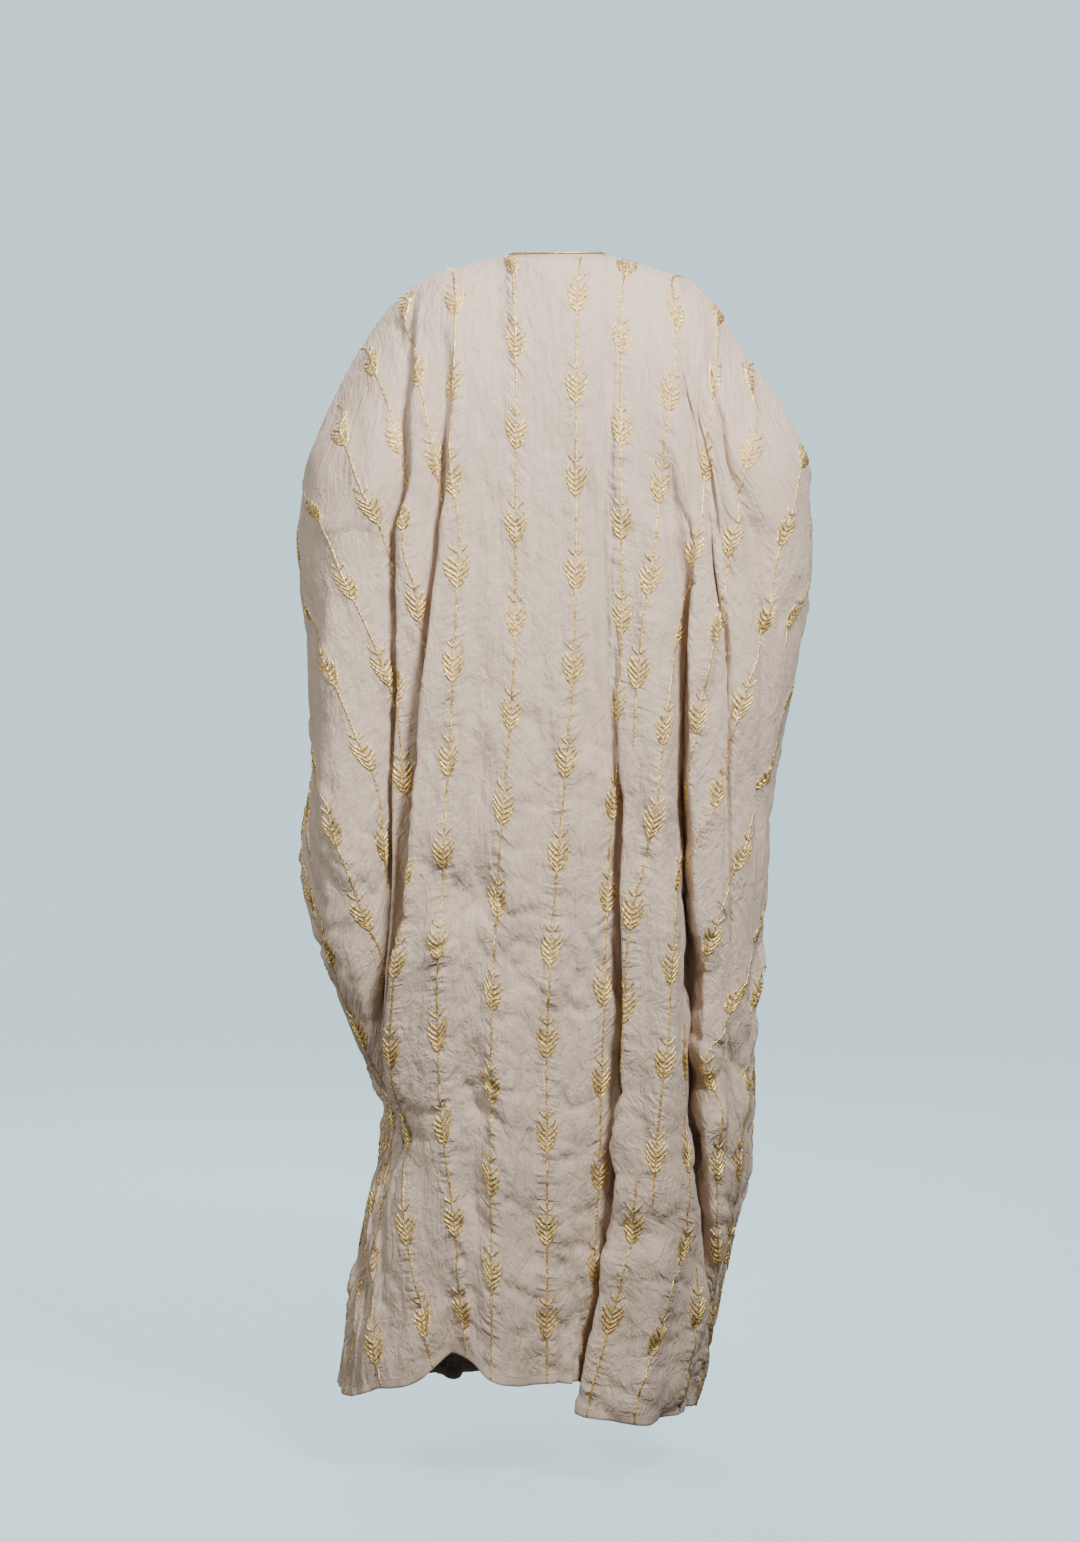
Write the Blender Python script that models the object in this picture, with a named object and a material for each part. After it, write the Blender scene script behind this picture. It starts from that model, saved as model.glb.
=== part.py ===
"""An open-fronted abaya with wide sleeves cut in one with the body, in the hollow shape it has when worn.

Metres, +Z up. The back of the garment faces +Y, its open front faces -Y, and +X is its left side.
The origin is the middle of the neck opening. Tables are in millimetres, each row with named columns.

How a panel is made: horizontal rings give the garment's outline at a few heights, and folds push the
rings in or out. Each panel hangs in columns from its top edge, which is the neckline and then the
line that runs over the shoulder and along the sleeve, down through the rings to the hem.
"""

import math

import bpy
import numpy as np

MM = 0.001

# Sizes of the cloth
WALL = 1.8 * MM            # thickness of the folded linen and its seams
SEAM_GAP = 0.3 * MM        # space left between two pieces that are sewn together
SEAM_COLUMNS = 27          # columns of quads along the shoulder and sleeve, per side
NECK_COLUMNS = 4           # columns along each quarter of the neckline
YOKE_ROWS = 8              # rows from the top edge to the first ring
SKIRT_ROWS = 16            # rows from the first ring to the hem

# The neck opening
NECK_BACK_Y = 60 * MM
NECK_BACK_Z = -8 * MM
NECK_FRONT_Y = -74 * MM
NECK_FRONT_Z = -62 * MM
FRONT_EDGE_X = 5 * MM      # half of the gap between the two front edges
BAND_HEIGHTS = (0.5 * MM, 4 * MM, 8 * MM)   # the binding's rows, above the neck edge
BAND_WALL = 2.4 * MM
BAND_LEAN = 0.01           # how far the band leans in, as a share of the way to the neck's middle
NECK_MIDDLE_Y = -7 * MM

# The sleeve opening
RING_TOP_Z = -0.350        # height of the first ring, just below the elbows
RING_END_Z = -1.450        # height of the last ring, below the hem
CUFF_TOP_Z = -0.236
CUFF_BOTTOM_Z = -0.470
CUFF_HALF_OPENING = 30 * MM
YOKE_ROUNDNESS = 2.6       # exponent of the curve by which the cloth rolls over the shoulder

# Line over the shoulder and along the sleeve, where back and front are sewn together
SLEEVE_TOP = (
    # name           left_x right_x   y     z
    ("neck side",     66,    66,      0,    4),
    ("mid shoulder", 120,   118,      0,   -9),
    ("shoulder",     167,   164,      1,  -24),
    ("arm head",     203,   196,      3,  -54),
    ("upper arm",    239,   226,      7, -104),
    ("mid arm",      267,   264,     11, -155),
    ("above elbow",  297,   301,     13, -222),
    ("elbow",        312,   317,      6, -264),
    ("elbow front",  313,   315,    -22, -285),
    ("forearm",      303,   303,    -75, -278),
    ("wrist",        288,   288,   -150, -256),
    ("cuff",         276,   276,   -235, -236),
)

# Rings of the back panel: the outermost point of the side, and the side seam
BACK_RINGS = {
    "left": (
        # height  back_y  side_x  side_y  seam_x  seam_y
        (-350,    124,    324,    -20,    290,    -228),
        (-470,    127,    317,    -30,    292,    -206),
        (-600,    127,    312,    -30,    298,    -172),
        (-780,    126,    318,    -30,    300,    -122),
        (-880,    125,    292,    -15,    276,     -86),
        (-980,    124,    247,     -2,    237,     -48),
        (-1070,   124,    212,     10,    206,     -26),
        (-1180,   125,    232,     12,    228,     -22),
        (-1300,   126,    256,     12,    252,     -20),
        (-1430,   127,    270,     12,    266,     -18),
    ),
    "right": (
        # height  back_y  side_x  side_y  seam_x  seam_y
        (-350,    124,    322,    -20,    290,    -228),
        (-430,    126,    317,    -28,    292,    -214),
        (-550,    127,    296,    -30,    288,    -186),
        (-660,    127,    275,    -30,    272,    -155),
        (-780,    126,    268,    -28,    264,    -118),
        (-900,    125,    258,    -18,    253,     -88),
        (-1000,   124,    250,     -6,    245,     -64),
        (-1100,   124,    246,      4,    240,     -44),
        (-1250,   125,    214,     12,    209,     -24),
        (-1430,   127,    166,     12,    162,     -18),
    ),
}

# Rings of each front panel: the fullest point of the chest, and the crook inside the elbow
FRONT_RINGS = {
    "left": (
        # height  edge_x  front_y  chest_x  chest_y  crook_x  crook_y
        (-350,    5,     -150,     150,     -140,    248,     -42),
        (-470,    6,     -160,     155,     -148,    246,     -44),
        (-600,    8,     -166,     160,     -150,    248,     -46),
        (-780,    10,    -170,     165,     -152,    252,     -50),
        (-880,    11,    -172,     160,     -152,    240,     -60),
        (-980,    12,    -174,     150,     -152,    216,     -72),
        (-1070,   14,    -175,     140,     -150,    194,     -80),
        (-1180,   17,    -177,     148,     -152,    211,     -84),
        (-1300,   20,    -180,     158,     -156,    230,     -86),
        (-1430,   24,    -183,     165,     -160,    244,     -88),
    ),
    "right": (
        # height  edge_x  front_y  chest_x  chest_y  crook_x  crook_y
        (-350,    5,     -150,     150,     -140,    248,     -42),
        (-430,    5,     -158,     153,     -146,    244,     -44),
        (-550,    6,     -164,     152,     -150,    236,     -50),
        (-660,    6,     -168,     150,     -152,    230,     -56),
        (-780,    7,     -170,     148,     -152,    226,     -76),
        (-900,    6,     -172,     146,     -152,    216,     -92),
        (-1000,   5,     -174,     144,     -152,    212,     -100),
        (-1100,   5,     -176,     142,     -152,    210,     -98),
        (-1250,   7,     -179,     132,     -154,    192,     -88),
        (-1430,   9,     -183,     110,     -160,    152,     -94),
    ),
}

# Heights at which the tables of folds give a fold's place and depth
FOLD_HEIGHTS = (-150, -500, -950, -1400)

# Folds of the back. Place is the distance round the ring from the centre back. Depth is inwards, so a
# ridge has a negative one. Inner and outer are the fold's widths towards the centre and the side.
# Lean carries the crest beside the steep slope over the valley. A led fold keeps to one column.
BACK_FOLDS = {
    "left": (
        # name             place at each height      depth at each height   inner outer lean led
        ("body over wing", (136, 152, 190, 214),     (6, 34, 42, 16),       22,   48,   8,   True),
        ("wing mid",       (190, 202, 226, 262),     (8, 36, 40, 20),       20,   60,   8,   True),
        ("wing crease",    (262, 280, 280, 280),     (0, -14, -6, -6),      40,   40,   0,   False),
        ("wing side",      (400, 420, 350, 320),     (0, 12, 14, 0),        50,   50,   0,   False),
        ("hem notch",      (96,  110, 118, 132),     (0, 4, 10, 34),        30,   26,   0,   False),
        ("hem lobe",       (60,  60,  62,  70),      (0, -4, -8, -16),      50,   40,   0,   False),
    ),
    "right": (
        # name             place at each height      depth at each height   inner outer lean led
        ("lobe over back", (70,  74,  84,  40),      (0, 10, 26, 34),       60,   20,   -6,  True),
        ("body lobe",      (118, 120, 128, 100),     (0, -8, -18, -30),     46,   46,   0,   False),
        ("yoke groove",    (150, 176, 196, 200),     (7, 12, 0, 0),         24,   24,   0,   False),
        ("sleeve lobe",    (168, 170, 186, 214),     (2, 26, 40, 26),       56,   20,   -8,  True),
        ("sleeve crest",   (232, 228, 240, 250),     (0, -12, -16, -10),    34,   40,   0,   False),
        ("sleeve groove",  (250, 268, 280, 290),     (8, 12, 10, 0),        22,   22,   0,   False),
        ("wing side",      (400, 420, 360, 330),     (0, 12, 12, 0),        50,   50,   0,   False),
    ),
}

# Folds of the fronts, placed from the front edge. They follow the swing of the back's folds
FRONT_FOLDS = {
    "left": (
        # name             place at each height      depth at each height   inner outer lean led
        ("front edge",     (30,  44,  50,  56),      (0, -6, -12, -18),     34,   40,   0,   True),
        ("chest valley",   (96,  104, 112, 118),     (0, 14, 24, 30),       40,   26,   0,   True),
        ("hip crest",      (150, 156, 164, 172),     (0, -8, -14, -18),     36,   40,   0,   True),
        ("side valley",    (206, 210, 214, 224),     (0, 12, 16, 26),       30,   40,   0,   True),
    ),
    "right": (
        # name             place at each height      depth at each height   inner outer lean led
        ("front edge",     (34,  38,  44,  46),      (0, -6, -10, -16),     30,   36,   0,   True),
        ("chest valley",   (86,  92,  98,  98),      (0, 16, 26, 30),       26,   40,   0,   True),
        ("hip crest",      (142, 148, 148, 140),     (0, -8, -14, -16),     36,   34,   0,   True),
        ("side valley",    (200, 202, 198, 178),     (0, 12, 16, 18),       40,   30,   0,   True),
    ),
}

# Height of the hem, by the distance round the panel from the centre, as a share of its width
HEMS = {
    "back left":   ((0.00, -1374), (0.06, -1374), (0.10, -1366), (0.145, -1341), (0.175, -1343),
                    (0.205, -1366), (0.30, -1388), (0.45, -1400), (0.80, -1402), (1.00, -1398)),
    "back right":  ((0.00, -1374), (0.10, -1376), (0.14, -1388), (0.18, -1408), (0.24, -1418),
                    (0.45, -1424), (0.70, -1429), (1.00, -1424)),
    "front left":  ((0.00, -1428), (0.30, -1424), (0.60, -1418), (0.85, -1408), (1.00, -1398)),
    "front right": ((0.00, -1428), (0.30, -1425), (0.60, -1420), (0.85, -1424), (1.00, -1424)),
}

# Fine steps used while rings are worked out
RING_STEPS = 240
HEIGHT_STEPS = 120
EDGE_FADE = 40 * MM        # folds die out over this distance from a panel's sewn side edge
FULL_LEAN_DEPTH = 30 * MM  # a fold this deep or deeper has its whole lean
ELBOW_SHARE = 0.66         # share of the columns that lie between the centre and the elbow
ELBOW_PLACE = 0.44         # where the elbow's column runs, from the last led fold to the side
CROWDING = 2.2             # how much closer the columns lie at a sharp fold
CROWDED_WIDTH = 1.7        # the reach of that, in widths of the fold's steep slope
STEEP_WIDTH = 25 * MM      # a fold whose steeper slope is narrower than this is a sharp one
LEAN_WIDTH = 1.4           # the reach of a crest's lean, in widths of the fold's steep slope

# Knots of the rings' curves, in proportion to the spacing of their points
BACK_KNOTS = (0.0, 1.0, 1.75, 2.4, 3.4)
FRONT_KNOTS = (0.0, 1.0, 1.8, 2.6, 3.3, 4.0)
BACK_CORNER = ((0.55, 0.985), (0.89, 0.62))   # shares of side_x and back_y
FRONT_CORNER = (0.55, 0.45)   # shares of the way from chest to crook, in x and in y
CROOK_TO_SEAM = (0.58, 0.5)   # shares of the way from crook to side seam, in x and in y
SEWN_WITHIN = 0.1 * MM        # side edges that lie this close are sewn together

CLOTH_COLOR = (0.47, 0.41, 0.35, 1.0)
CLOTH_ROUGHNESS = 0.85
BAND_COLOR = (0.45, 0.38, 0.31, 1.0)
BAND_ROUGHNESS = 0.8


def smooth(knots, values, at, start_flat=False):
    """Values between the knots on a cubic whose slope at each knot joins its two neighbours."""
    knots = np.asarray(knots, float)
    values = np.asarray(values, float)
    at = np.asarray(at, float)
    slopes = np.gradient(values, knots, axis=0)
    if start_flat:
        slopes[0] = 0.0
    i = np.clip(np.searchsorted(knots, at, side="right") - 1, 0, len(knots) - 2)
    width = (knots[i + 1] - knots[i])
    u = np.clip((at - knots[i]) / width, 0.0, 1.0)
    extra = (1,) * (values.ndim - 1)
    u = u.reshape(u.shape + extra)
    width = width.reshape(width.shape + extra)
    return ((2 * u**3 - 3 * u**2 + 1) * values[i] + (u**3 - 2 * u**2 + u) * width * slopes[i]
            + (3 * u**2 - 2 * u**3) * values[i + 1] + (u**3 - u**2) * width * slopes[i + 1])


def bump(u):
    """One at the middle, and none from a distance of one on."""
    return np.clip(1.0 - u * u, 0.0, None) ** 2


def between(start, end, share):
    return start + share * (end - start)


def across(vectors, along):
    """The part of each vector that is square to the unit vectors along."""
    return vectors - along * np.sum(vectors * along, axis=-1, keepdims=True)


def unit(vectors):
    return vectors / np.linalg.norm(vectors, axis=-1, keepdims=True)


def by_height(table, heights):
    """The rows of a table of rings, in metres, at the given heights."""
    rows = np.array([row[1:] for row in table], float) * MM
    knots = -np.array([row[0] for row in table], float) * MM
    return smooth(knots, rows, -heights, start_flat=True)


def cuff_opening(heights):
    """Half of the sleeve opening's width, which closes to nothing at the side seam's top."""
    down = np.clip((heights - CUFF_TOP_Z) / (CUFF_BOTTOM_Z - CUFF_TOP_Z), 0.0, 1.0)
    return CUFF_HALF_OPENING * np.sqrt(np.sin(math.pi * down).clip(0.0, 1.0))


def back_ring_points(side, heights):
    """The five points that each half ring of the back runs through, from the centre back."""
    back_y, side_x, side_y, seam_x, seam_y = by_height(BACK_RINGS[side], heights).T
    points = [(0 * side_x, back_y)]
    points += [(side_x * share_x, back_y * share_y) for share_x, share_y in BACK_CORNER]
    points += [(side_x, side_y), (seam_x + cuff_opening(heights), seam_y)]
    return np.array(points).transpose(2, 0, 1)


def front_ring_points(side, heights):
    """The six points that each ring of a front runs through, from the centre front."""
    edge_x, front_y, chest_x, chest_y, crook_x, crook_y = by_height(FRONT_RINGS[side], heights).T
    seam_x, seam_y = by_height(BACK_RINGS[side], heights).T[3:]
    inner_x = seam_x - cuff_opening(heights)
    points = [(edge_x, front_y), (chest_x, chest_y),
              (between(chest_x, crook_x, FRONT_CORNER[0]), between(chest_y, crook_y, FRONT_CORNER[1])),
              (crook_x, crook_y),
              (between(crook_x, inner_x, CROOK_TO_SEAM[0]), between(crook_y, seam_y, CROOK_TO_SEAM[1])),
              (inner_x, seam_y)]
    return np.array(points).transpose(2, 0, 1)


def even_rings(points, knots):
    """Each height's ring as points that are evenly spaced along it, and its length."""
    fine = np.linspace(knots[0], knots[-1], RING_STEPS + 1)
    curve = smooth(knots, points.transpose(1, 0, 2), fine).transpose(1, 0, 2)
    steps = np.linalg.norm(np.diff(curve, axis=1), axis=2)
    run = np.concatenate([np.zeros((len(curve), 1)), np.cumsum(steps, axis=1)], axis=1)
    shares = np.linspace(0.0, 1.0, RING_STEPS + 1)
    even = np.array([[np.interp(shares * r[-1], r, c[:, k]) for k in range(2)]
                     for r, c in zip(run, curve)])
    return even.transpose(0, 2, 1), run[:, -1]


def fold_rows(folds, heights):
    """Each fold's place and depth at the given heights, its widths and lean, and whether it is led."""
    knots = -np.array(FOLD_HEIGHTS, float) * MM
    for _name, place, depth, inner, outer, lean, led in folds:
        yield (smooth(knots, np.array(place) * MM, -heights),
               smooth(knots, np.array(depth) * MM, -heights),
               inner * MM, outer * MM, lean * MM, led)


def column_places(length, led_folds, columns):
    """Distances round each ring at which the columns lie.

    A led fold keeps the same column all the way down, and the columns crowd together near it if it
    is steep. The elbow's column runs part of the way from the last led fold to the side."""
    middle = HEIGHT_STEPS // 2
    last = led_folds[-1][0]
    elbow = last + ELBOW_PLACE * (length - last)
    shares = np.array([place[middle] / elbow[middle] for place, _steep in led_folds]) * ELBOW_SHARE
    fine = np.linspace(0.0, 1.0, RING_STEPS + 1)
    crowd = np.ones_like(fine)
    for share, (_place, steep) in zip(shares, led_folds):
        if steep < STEEP_WIDTH:
            crowd += CROWDING * bump((fine - share) * length[middle] / (CROWDED_WIDTH * steep))
    run = np.concatenate([[0.0], np.cumsum((crowd[1:] + crowd[:-1]) / 2)])
    at_elbow = np.interp(ELBOW_SHARE, fine, run)
    run = np.interp(run, (0.0, at_elbow, run[-1]), (0.0, ELBOW_SHARE, 1.0))
    wanted = np.interp(np.linspace(0.0, 1.0, columns + 1), run, fine)
    knots = np.concatenate([[0.0], shares, [ELBOW_SHARE, 1.0]])
    places = np.array([0 * length, *(place for place, _steep in led_folds), elbow, length]).T
    return np.array([np.interp(wanted, knots, at_height) for at_height in places])


def folded_rings(points, knots, folds, heights, columns, outward):
    """The rings with their folds, sampled at the panel's columns.

    A fold is a smooth dip across the ring, with its own width on each side of its lowest line."""
    even, length = even_rings(points, knots)
    along = np.linspace(0.0, 1.0, RING_STEPS + 1)[None, :] * length[:, None]
    dip = np.zeros_like(along)
    shift = np.zeros_like(along)
    led_folds = []
    for place, depth, inner, outer, lean, led in fold_rows(folds, heights):
        away = along - place[:, None]
        dip += depth[:, None] * bump(away / np.where(away < 0, inner, outer))
        steep = min(inner, outer)
        crest = away + (inner if lean > 0 else -outer)
        strength = np.clip(depth / FULL_LEAN_DEPTH, 0.0, 1.0)[:, None]
        shift += lean * strength * bump(crest / (LEAN_WIDTH * steep))
        if led:
            led_folds.append((place, steep))
    fade = np.clip((length[:, None] - along) / EDGE_FADE, 0.0, 1.0)
    tangent = unit(np.gradient(even, axis=1))
    normal = outward * np.stack([-tangent[..., 1], tangent[..., 0]], axis=2)
    folded = even + (tangent * shift[..., None] - normal * dip[..., None]) * fade[..., None]
    wanted = column_places(length, led_folds, columns)
    return np.array([[np.interp(w, a, f[:, k]) for k in range(2)]
                     for w, a, f in zip(wanted, along, folded)]).transpose(0, 2, 1)


def sleeve_points(side):
    """The rows of the table of the shoulder and sleeve line, for one side."""
    x_column = 1 if side == "left" else 2
    return np.array([(row[x_column], *row[3:]) for row in SLEEVE_TOP], float) * MM


def sleeve_line(side):
    """Even points over the shoulder and along the sleeve, from the neck to the cuff."""
    points = sleeve_points(side)
    chords = np.linalg.norm(np.diff(points, axis=0), axis=1)
    knots = np.concatenate([[0.0], np.cumsum(chords)])
    return smooth(knots, points, np.linspace(0.0, knots[-1], SEAM_COLUMNS + 1))


def neck_quarter(side, front):
    """A quarter of the neckline, from the centre to the side of the neck."""
    turn = np.linspace(0.0, 0.5 * math.pi, NECK_COLUMNS + 1)[:-1]
    side_x, _side_y, side_z = sleeve_points(side)[0]
    y = NECK_FRONT_Y if front else NECK_BACK_Y
    z = NECK_FRONT_Z if front else NECK_BACK_Z
    start = FRONT_EDGE_X if front else 0.0
    return np.stack([start + (side_x - start) * np.sin(turn), y * np.cos(turn),
                     z + (side_z - z) * (1 - np.cos(turn))], axis=1)


def top_edge(side, front):
    return np.concatenate([neck_quarter(side, front), sleeve_line(side)])


def panel(side, front):
    """Rows of points of one half of the garment, back or front, as the inner face of its cloth."""
    columns = NECK_COLUMNS + SEAM_COLUMNS
    hem_rows = HEMS[("front " if front else "back ") + side]
    heights = np.linspace(RING_TOP_Z, RING_END_Z, HEIGHT_STEPS + 1)
    if front:
        points, knots, folds = front_ring_points(side, heights), FRONT_KNOTS, FRONT_FOLDS[side]
    else:
        points, knots, folds = back_ring_points(side, heights), BACK_KNOTS, BACK_FOLDS[side]
    rings = folded_rings(points, knots, folds, heights, columns, -1 if front else 1)
    top = top_edge(side, front)
    shares = np.linspace(0.0, 1.0, columns + 1)
    hem = smooth([row[0] for row in hem_rows], [row[1] * MM for row in hem_rows], shares)

    # The yoke rolls from the top edge on to the first ring, on a curve like a rounded corner
    turn = np.linspace(0.0, 0.5 * math.pi, YOKE_ROWS + 1)
    out = np.sin(turn) ** (2 / YOKE_ROUNDNESS)
    down = 1 - np.cos(turn) ** (2 / YOKE_ROUNDNESS)
    yoke = np.empty((YOKE_ROWS + 1, columns + 1, 3))
    yoke[..., :2] = top[None, :, :2] + out[:, None, None] * (rings[0] - top[:, :2])[None]
    yoke[..., 2] = top[None, :, 2] + down[:, None] * (RING_TOP_Z - top[:, 2])[None]

    # The skirt follows the rings down to the hem
    fall = np.linspace(0.0, 1.0, SKIRT_ROWS + 1)[1:]
    z = RING_TOP_Z + fall[:, None] * (hem - RING_TOP_Z)[None, :]
    place = (z - heights[0]) / (heights[-1] - heights[0]) * HEIGHT_STEPS
    low = np.clip(place.astype(int), 0, HEIGHT_STEPS - 1)
    part = (place - low)[..., None]
    column = np.arange(columns + 1)[None, :]
    skirt = np.concatenate([rings[low, column] * (1 - part) + rings[low + 1, column] * part,
                            z[..., None]], axis=2)
    return np.concatenate([yoke, skirt])


def outward_normals(grid, flip):
    normal = np.cross(np.gradient(grid, axis=1), np.gradient(grid, axis=0))
    return unit(normal) * (-1 if flip else 1)


def evened(directions):
    """Unit directions along a seam, each taken from itself and its neighbours, twice over."""
    for _ in range(2):
        directions = unit(directions)
        beside = np.concatenate([directions[:1], directions, directions[-1:]])
        directions = beside[:-2] + 2 * directions + beside[2:]
    return unit(directions)


def sew(back, front):
    """Both panels' outward directions. Along their shared edges the panels are mitred: they take
    one common direction there, and stand apart by the seam gap."""
    out_back = outward_normals(back, False)
    out_front = outward_normals(front, True)
    sewn_top = np.zeros(back.shape[:2], bool)
    sewn_top[0, NECK_COLUMNS:] = True
    inner_top = np.roll(sewn_top, 1, axis=0)
    sewn_side = np.zeros(back.shape[:2], bool)
    sewn_side[1:, -1] = np.abs(back[1:, -1] - front[1:, -1]).max(axis=1) < SEWN_WITHIN
    inner_side = np.roll(sewn_side, -1, axis=1)
    for sewn, inner in ((sewn_top, inner_top), (sewn_side, inner_side)):
        apart = evened(unit(back[inner] - back[sewn]) - unit(front[inner] - front[sewn]))
        common = unit(across(evened(out_back[sewn] + out_front[sewn]), apart))
        out_back[sewn] = common
        out_front[sewn] = common
        back[sewn] += apart * 0.5 * SEAM_GAP
        front[sewn] -= apart * 0.5 * SEAM_GAP
    return out_back, out_front


def wall_mesh(name, inner, outer, flip):
    """A closed wall between inner and outer points, with a rim round all four edges."""
    rows, cols = inner.shape[:2]
    count = rows * cols
    ids = np.arange(count).reshape(rows, cols)
    a, b, c, d = ids[:-1, :-1].ravel(), ids[1:, :-1].ravel(), ids[1:, 1:].ravel(), ids[:-1, 1:].ravel()
    inside = np.concatenate([np.stack([a, b, d], 1), np.stack([b, c, d], 1)])
    outside = inside[:, ::-1] + count
    rim = np.concatenate([ids[:, 0], ids[-1, 1:], ids[-2::-1, -1], ids[0, -2:0:-1]])
    ahead = np.roll(rim, -1)
    edge = np.concatenate([np.stack([rim, rim + count, ahead], 1),
                           np.stack([ahead, rim + count, ahead + count], 1)])
    faces = np.concatenate([inside, outside, edge])
    if flip:
        faces = faces[:, ::-1]
    points = np.concatenate([inner.reshape(-1, 3), outer.reshape(-1, 3)])
    mesh = bpy.data.meshes.new(name)
    mesh.from_pydata(points.tolist(), [], faces.tolist())
    mesh.update()
    return mesh


def cloth_material(name, color, roughness):
    material = bpy.data.materials.new(name)
    material.use_nodes = True
    shader = material.node_tree.nodes["Principled BSDF"]
    shader.inputs["Base Color"].default_value = color
    shader.inputs["Roughness"].default_value = roughness
    shader.inputs["Metallic"].default_value = 0.0
    return material


def add_piece(name, inner, outer, flip, material):
    mesh = wall_mesh(name, inner, outer, flip)
    mesh.materials.append(material)
    mesh.shade_smooth()
    piece = bpy.data.objects.new(name, mesh)
    bpy.context.scene.collection.objects.link(piece)
    return piece


def mirrored(grid):
    return grid * np.array([-1.0, 1.0, 1.0])


def neck_edge(points):
    """The neckline's points in turn: left front, left back, right back, right front."""
    quarter = NECK_COLUMNS + 1
    return np.concatenate([points["front", "left"][0, :quarter],
                           points["back", "left"][0, NECK_COLUMNS - 1::-1],
                           mirrored(points["back", "right"][0, 1:quarter]),
                           mirrored(points["front", "right"][0, NECK_COLUMNS - 1::-1])])


def neck_band(inner, outer):
    """The binding stands on the neck edge, from one front edge round to the other, and leans in."""
    edge = neck_edge(outer)
    along = unit(np.gradient(edge, axis=0))
    inward = np.array([0.0, NECK_MIDDLE_Y, 0.0]) - edge
    inward[:, 2] = 0.0
    up = unit(across(edge - neck_edge(inner) + inward * BAND_LEAN, along))
    inward = unit(across(across(inward, along), up))
    strip = np.array([edge + up * height for height in BAND_HEIGHTS])
    return strip + inward * BAND_WALL, strip


def clear_scene():
    for thing in list(bpy.data.objects):
        bpy.data.objects.remove(thing, do_unlink=True)


def build():
    clear_scene()
    inner = {}
    outer = {}
    for side in ("left", "right"):
        back, front = panel(side, front=False), panel(side, front=True)
        out_back, out_front = sew(back, front)
        inner["back", side], outer["back", side] = back, back + out_back * WALL
        inner["front", side], outer["front", side] = front, front + out_front * WALL
    cloth = cloth_material("cloth", CLOTH_COLOR, CLOTH_ROUGHNESS)
    binding = cloth_material("binding", BAND_COLOR, BAND_ROUGHNESS)
    whole = [np.concatenate([mirrored(points["back", "right"])[:, ::-1], points["back", "left"][:, 1:]],
                            axis=1)
             for points in (inner, outer)]
    add_piece("back", *whole, False, cloth)
    add_piece("front_left", inner["front", "left"], outer["front", "left"], True, cloth)
    add_piece("front_right", mirrored(inner["front", "right"]), mirrored(outer["front", "right"]),
              False, cloth)
    add_piece("neck_band", *neck_band(inner, outer), False, binding)


build()
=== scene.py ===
"""Looks of an open-fronted abaya: crinkled linen panels, gold thread embroidery, turned hems, stitching.

Metres, +Z up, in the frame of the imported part. The back faces +Y and +X is the garment's left side.
Tables are in millimetres. A column runs from 0 at the centre back (or at the front edge) to 100 at the
side seam and the cuff, and on the back it is negative on the garment's right.
"""

import math

import bpy
import numpy as np
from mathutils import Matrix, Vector


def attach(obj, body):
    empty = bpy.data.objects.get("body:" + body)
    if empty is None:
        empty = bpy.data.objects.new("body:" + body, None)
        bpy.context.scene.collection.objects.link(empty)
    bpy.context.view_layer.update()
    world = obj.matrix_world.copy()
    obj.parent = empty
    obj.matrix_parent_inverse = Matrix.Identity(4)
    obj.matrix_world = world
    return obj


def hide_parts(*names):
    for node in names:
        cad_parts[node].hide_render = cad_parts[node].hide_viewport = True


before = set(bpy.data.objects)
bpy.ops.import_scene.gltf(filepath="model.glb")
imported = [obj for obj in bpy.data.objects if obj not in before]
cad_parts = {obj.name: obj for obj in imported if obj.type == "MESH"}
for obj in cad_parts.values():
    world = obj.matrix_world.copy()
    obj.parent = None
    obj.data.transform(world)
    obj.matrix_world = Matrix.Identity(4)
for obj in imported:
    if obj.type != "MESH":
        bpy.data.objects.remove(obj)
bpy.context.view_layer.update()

MM = 0.001
WALL = 1.8 * MM
SIDE_COLUMN = 100.0        # the column of the side seam and the cuff

# The cut and its main folds: the same rings and folds as the solids, worked out finer

NECK_BACK_Y = 60 * MM
NECK_BACK_Z = -8 * MM
NECK_FRONT_Y = -74 * MM
NECK_FRONT_Z = -62 * MM
FRONT_EDGE_X = 5 * MM
RING_TOP_Z = -0.350
RING_END_Z = -1.450
CUFF_TOP_Z = -0.236
CUFF_BOTTOM_Z = -0.470
CUFF_HALF_OPENING = 30 * MM
CUFF_PAST_TOP = 1 * MM     # how far the cuff's hem goes past its top and its lower end
CUFF_PAST_BOTTOM = 4 * MM
YOKE_ROUNDNESS = 2.6
NECK_SHARE = 4 / 31        # share of the columns that lie along the neckline

# Line over the shoulder and along the sleeve, where back and front are sewn together
SLEEVE_TOP = (
    # name           left_x right_x   y     z
    ("neck side",     66,    66,      0,    4),
    ("mid shoulder", 120,   118,      0,   -9),
    ("shoulder",     167,   164,      1,  -24),
    ("arm head",     203,   196,      3,  -54),
    ("upper arm",    239,   226,      7, -104),
    ("mid arm",      267,   264,     11, -155),
    ("above elbow",  297,   301,     13, -222),
    ("elbow",        312,   317,      6, -264),
    ("elbow front",  313,   315,    -22, -285),
    ("forearm",      303,   303,    -75, -278),
    ("wrist",        288,   288,   -150, -256),
    ("cuff",         276,   276,   -235, -236),
)

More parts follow.
